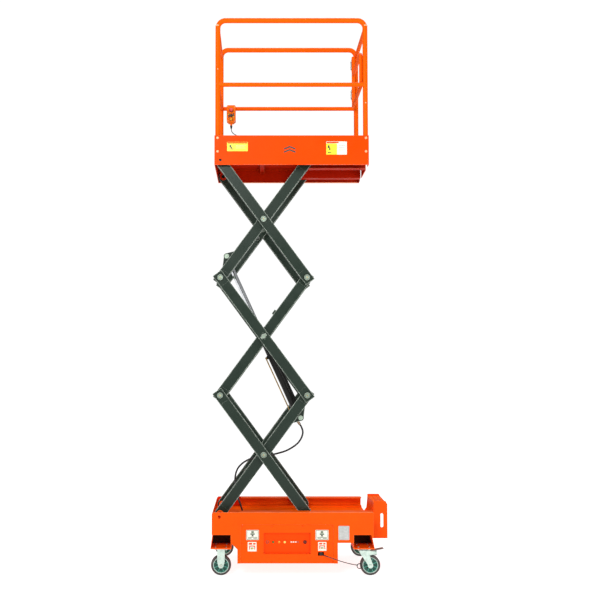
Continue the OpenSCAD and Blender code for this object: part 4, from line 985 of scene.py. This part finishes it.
def crimp(bm, at, way):
    """Crimped hose end with its hexagon nut, along way."""
    lathe(bm, at, way, [(0, -0.046), (0.0086, -0.046), (0.0102, -0.043), (0.0102, -0.038), (0.0094, -0.036),
                        (0.0102, -0.034), (0.0102, -0.028), (0.0094, -0.026), (0.0102, -0.024),
                        (0.0102, -0.018), (0.0070, -0.016), (0, -0.016)], 32, 0)
    lathe(bm, at, way, [(0, -0.0155), (0.0115, -0.0155), (0.0125, -0.0145), (0.0125, -0.001),
                        (0.0115, 0), (0, 0)], 6, 1)


bm = bmesh.new()
end_way = Vector(HOSE[-1]) - Vector(HOSE[-2])
crimp(bm, Vector(HOSE[-1]) + end_way.normalized() * 0.004, end_way)
finish_mesh("hose_fitting_cylinder", bm, [CRIMP, BRASS], "barrel", 30)
bm = bmesh.new()
way = Vector(HOSE[HOSE_SPLIT + 1]) - Vector(HOSE[HOSE_SPLIT - 1])
middle = Vector(HOSE[HOSE_SPLIT])
for at in (-0.020, 0.020):
    loop_lathe(bm, middle + way.normalized() * at, way,
               [(0.0069, -0.008), (0.0098, -0.007), (0.0098, 0.007), (0.0069, 0.008)], 32, 0)
lathe(bm, middle - way.normalized() * 0.011, way,
      [(0, 0), (0.0105, 0), (0.0115, 0.001), (0.0115, 0.021), (0.0105, 0.022), (0, 0.022)], 6, 1)
finish_mesh("hose_union", bm, [CRIMP, BRASS], "inner_lower", 30)
bm = bmesh.new()
loop_lathe(bm, Vector((HOSE[0][0], HOSE[0][1], TRAY_TOP)), (0, 0, 1),
           [(0.0072, -0.004), (0.0108, -0.004), (0.0108, 0.0006), (0.0160, 0.0010),
            (0.0150, 0.0040), (0.0090, 0.0062), (0.0074, 0.0050)], 48, 0)
finish_mesh("hose_grommet", bm, RUBBER, "base")

# ---- Release cable end ----
bm = bmesh.new()
tail = Vector(PULL[-1]) - Vector(PULL[-3])
lathe(bm, Vector(PULL[-1]) - tail.normalized() * 0.012, tail,
      [(0, 0), (0.0034, 0), (0.0044, 0.002), (0.0044, 0.012), (0.0038, 0.0145), (0, 0.0145)], 24, 0)
finish_mesh("release_ferrule", bm, ZINC_DARK, "release_pull")
bm = bmesh.new()
loop_lathe(bm, Vector((0.1455, -0.3598, 0.1705)), (0, -1, 0), [(0.0040, 0), (0.0125, 0), (0.0125, 0.0012),
           (0.0070, 0.0022), (0.0040, 0.0022)], 40, 0)
finish_mesh("release_grommet", bm, RUBBER, "base")

# ---- Guard rails: welds, sleeves and screws ----
RAIL_TOP, BEND_R = 1.006, 0.060
TUBE_FACE = 0.0186
bm = bmesh.new()
RAIL_MID = DECK + 0.506
END_Z = DECK + RAIL_TOP - BEND_R - 0.008
for s in (-1, 1):
    for x, d in ((POST_X[0], 1), (POST_X[1], -1)):
        bead(bm, (x + d * TUBE_FACE, s * RAIL_Y, RAIL_MID), (1, 0, 0), 0.0160, 0.0019)
        bead(bm, (x, s * (RAIL_Y - TUBE_FACE), END_Z), (0, 1, 0), 0.0160, 0.0019)
    bead(bm, (POST_X[0], s * (RAIL_Y - TUBE_FACE), RAIL_MID), (0, 1, 0), 0.0160, 0.0019)
finish_mesh("rail_welds", bm, ORANGE_TUBE, "platform", 60)
# Collars and screws on the posts, in the pale painted-highlight coat
bm = bmesh.new()
for s in (-1, 1):
    for x in POST_X:
        loop_lathe(bm, (x, s * RAIL_Y, END_Z + 0.0250), (0, 0, 1),
                   [(0.0191, -0.004), (0.0199, -0.003), (0.0199, 0.003), (0.0191, 0.004)], 56, 0)
    for x, z in ((POST_X[0], 3.822), (POST_X[1], 3.560)):
        pan_screw(bm, (x, s * (RAIL_Y + TUBE_FACE), z), (0, s, 0), 0.0048)
finish_mesh("rail_collars", bm, COLLAR_HIGHLIGHT, "platform", 35)

# ---- Gate hinges ----
HINGE_HALF = 0.036
HINGE_RIBS, HINGE_RIB_PITCH = 7, 0.010
bm = bmesh.new()
for z in (DECK + 0.870, DECK + 0.620):
    add_box(bm, (0.459, 0.2545, z - HINGE_HALF), (0.4836, 0.2790, z + HINGE_HALF), 0, 0.002)
    for k in range(HINGE_RIBS):
        zz = z - 0.030 + k * HINGE_RIB_PITCH
        add_box(bm, (0.4575, 0.2530, zz - 0.0018), (0.4836, 0.2800, zz + 0.0018), 1, 0.0006)
finish_mesh("gate_hinge_covers", bm, [GREY_PLASTIC, ZINC], "platform", 32)

# ---- In-turned lips along the toe boards' lower edges, coloured as a painted highlight ----
LIP_END = 0.012
for side, s in (("near", -1), ("far", 1)):
    bm = bmesh.new()
    outer, inner = s * (TOE_HIGH.y - 0.0022), s * (TOE_HIGH.y - 0.0150)
    add_box(bm, (TOE_LOW.x + LIP_END, min(outer, inner), TOE_LOW.z + 0.0005),
            (TOE_HIGH.x - LIP_END, max(outer, inner), TOE_LOW.z + 0.0035), 0, 0.0008)
    finish_mesh("toe_lip_" + side, bm, LIP_HIGHLIGHT, "platform", 40)

# ---- Handset ----
SET_X, SET_DEPTH, MID_RAIL_R = -0.541, 0.046, 0.016
SET_FRONT = RAIL_Y - MID_RAIL_R - 0.001 - SET_DEPTH
bm = bmesh.new()
for z, r in ((0.474, 0.0168), (0.429, 0.0138), (0.396, 0.0138)):
    loop_lathe(bm, (SET_X, SET_FRONT, DECK + z), OUTWARD,
               [(r - 0.0025, 0), (r, 0), (r, 0.0016), (r - 0.0010, 0.0026), (r - 0.0025, 0.0026)], 44, 0)
for dx, dz in ((-0.029, 0.506), (0.029, 0.506), (-0.028, 0.384), (0.028, 0.384)):
    pan_screw(bm, (SET_X + dx, SET_FRONT + 0.0006, DECK + dz), OUTWARD, 0.0030, 1)
boot = Vector(CABLE[0]) + Vector((0, 0, 0.0010))
lathe(bm, boot, (0, 0, -1),
      [(0, -0.004), (0.0096, -0.004), (0.0096, 0.003), (0.0080, 0.0045), (0.0090, 0.0065),
       (0.0074, 0.0095), (0.0082, 0.0115), (0.0066, 0.0145), (0.0074, 0.0165), (0.0058, 0.0200),
       (0.0044, 0.0240), (0, 0.0240)], 28, 0)
finish_mesh("handset_trim", bm, [BLACK_PLASTIC, ZINC], "platform", 35)
for patch, x0, x1, z0, z1 in (("left", -0.0240, -0.0148, 0.60, 0.92),
                              ("right", 0.0148, 0.0240, 0.08, 0.40)):
    rect = (SET_X + x0, SET_X + x1, DECK + 0.4105, DECK + 0.4475)
    plate("handset_patch_" + patch, rect, SET_FRONT, -1, "platform",
          [(0.15, 0.85, z0, z1, 1, 1)], [BLACK_PLASTIC, STICKER_YELLOW])

# ---- Deck tread: bars that stand across each other, clear of the posts ----
PITCH = 0.030
POST_CLEAR = 0.036
BAR = [(-0.011, 0), (-0.004, 0.0030), (0.004, 0.0030), (0.011, 0), (0.004, -0.0030), (-0.004, -0.0030)]
nx = int((DECK_HIGH.x - DECK_LOW.x - 0.05) / PITCH)
ny = int((DECK_HIGH.y - DECK_LOW.y - 0.03) / PITCH)
bm = bmesh.new()
for i in range(nx):
    for j in range(ny):
        cx = DECK_LOW.x + 0.040 + i * PITCH
        cy = DECK_LOW.y + 0.030 + j * PITCH
        post_gap = min(abs(cx - POST_X[0]), abs(cx - POST_X[1]))
        if abs(abs(cy) - RAIL_Y) < POST_CLEAR and post_gap < POST_CLEAR:
            continue
        turn = math.radians(45 if (i + j) % 2 else -45)
        ux, uy = math.cos(turn), math.sin(turn)
        low = [bm.verts.new((cx + a * ux - b * uy, cy + a * uy + b * ux, DECK - 0.0002)) for a, b in BAR]
        top = [bm.verts.new((cx + 0.62 * (a * ux - b * uy), cy + 0.62 * (a * uy + b * ux), DECK + 0.0014))
               for a, b in BAR]
        bm.faces.new(top)
        bm.faces.new(low)
        for k in range(6):
            m = (k + 1) % 6
            bm.faces.new((low[k], low[m], top[m], top[k]))
finish_mesh("deck_tread", bm, ZINC_DARK, "platform", 50)

# ---- Step tread ----
STEP_X, STEP_TOP = 0.583, 0.5088
bm = bmesh.new()
for i in range(3):
    for j in range(11):
        at = (STEP_X + i * 0.030, (j - 5) * 0.029, STEP_TOP)
        loop_lathe(bm, at, (0, 0, 1), [(0.0050, 0), (0.0095, 0), (0.0080, 0.0020), (0.0058, 0.0024),
                                       (0.0050, 0.0016)], 24, 0)
finish_mesh("step_tread", bm, ORANGE, "base", 45)
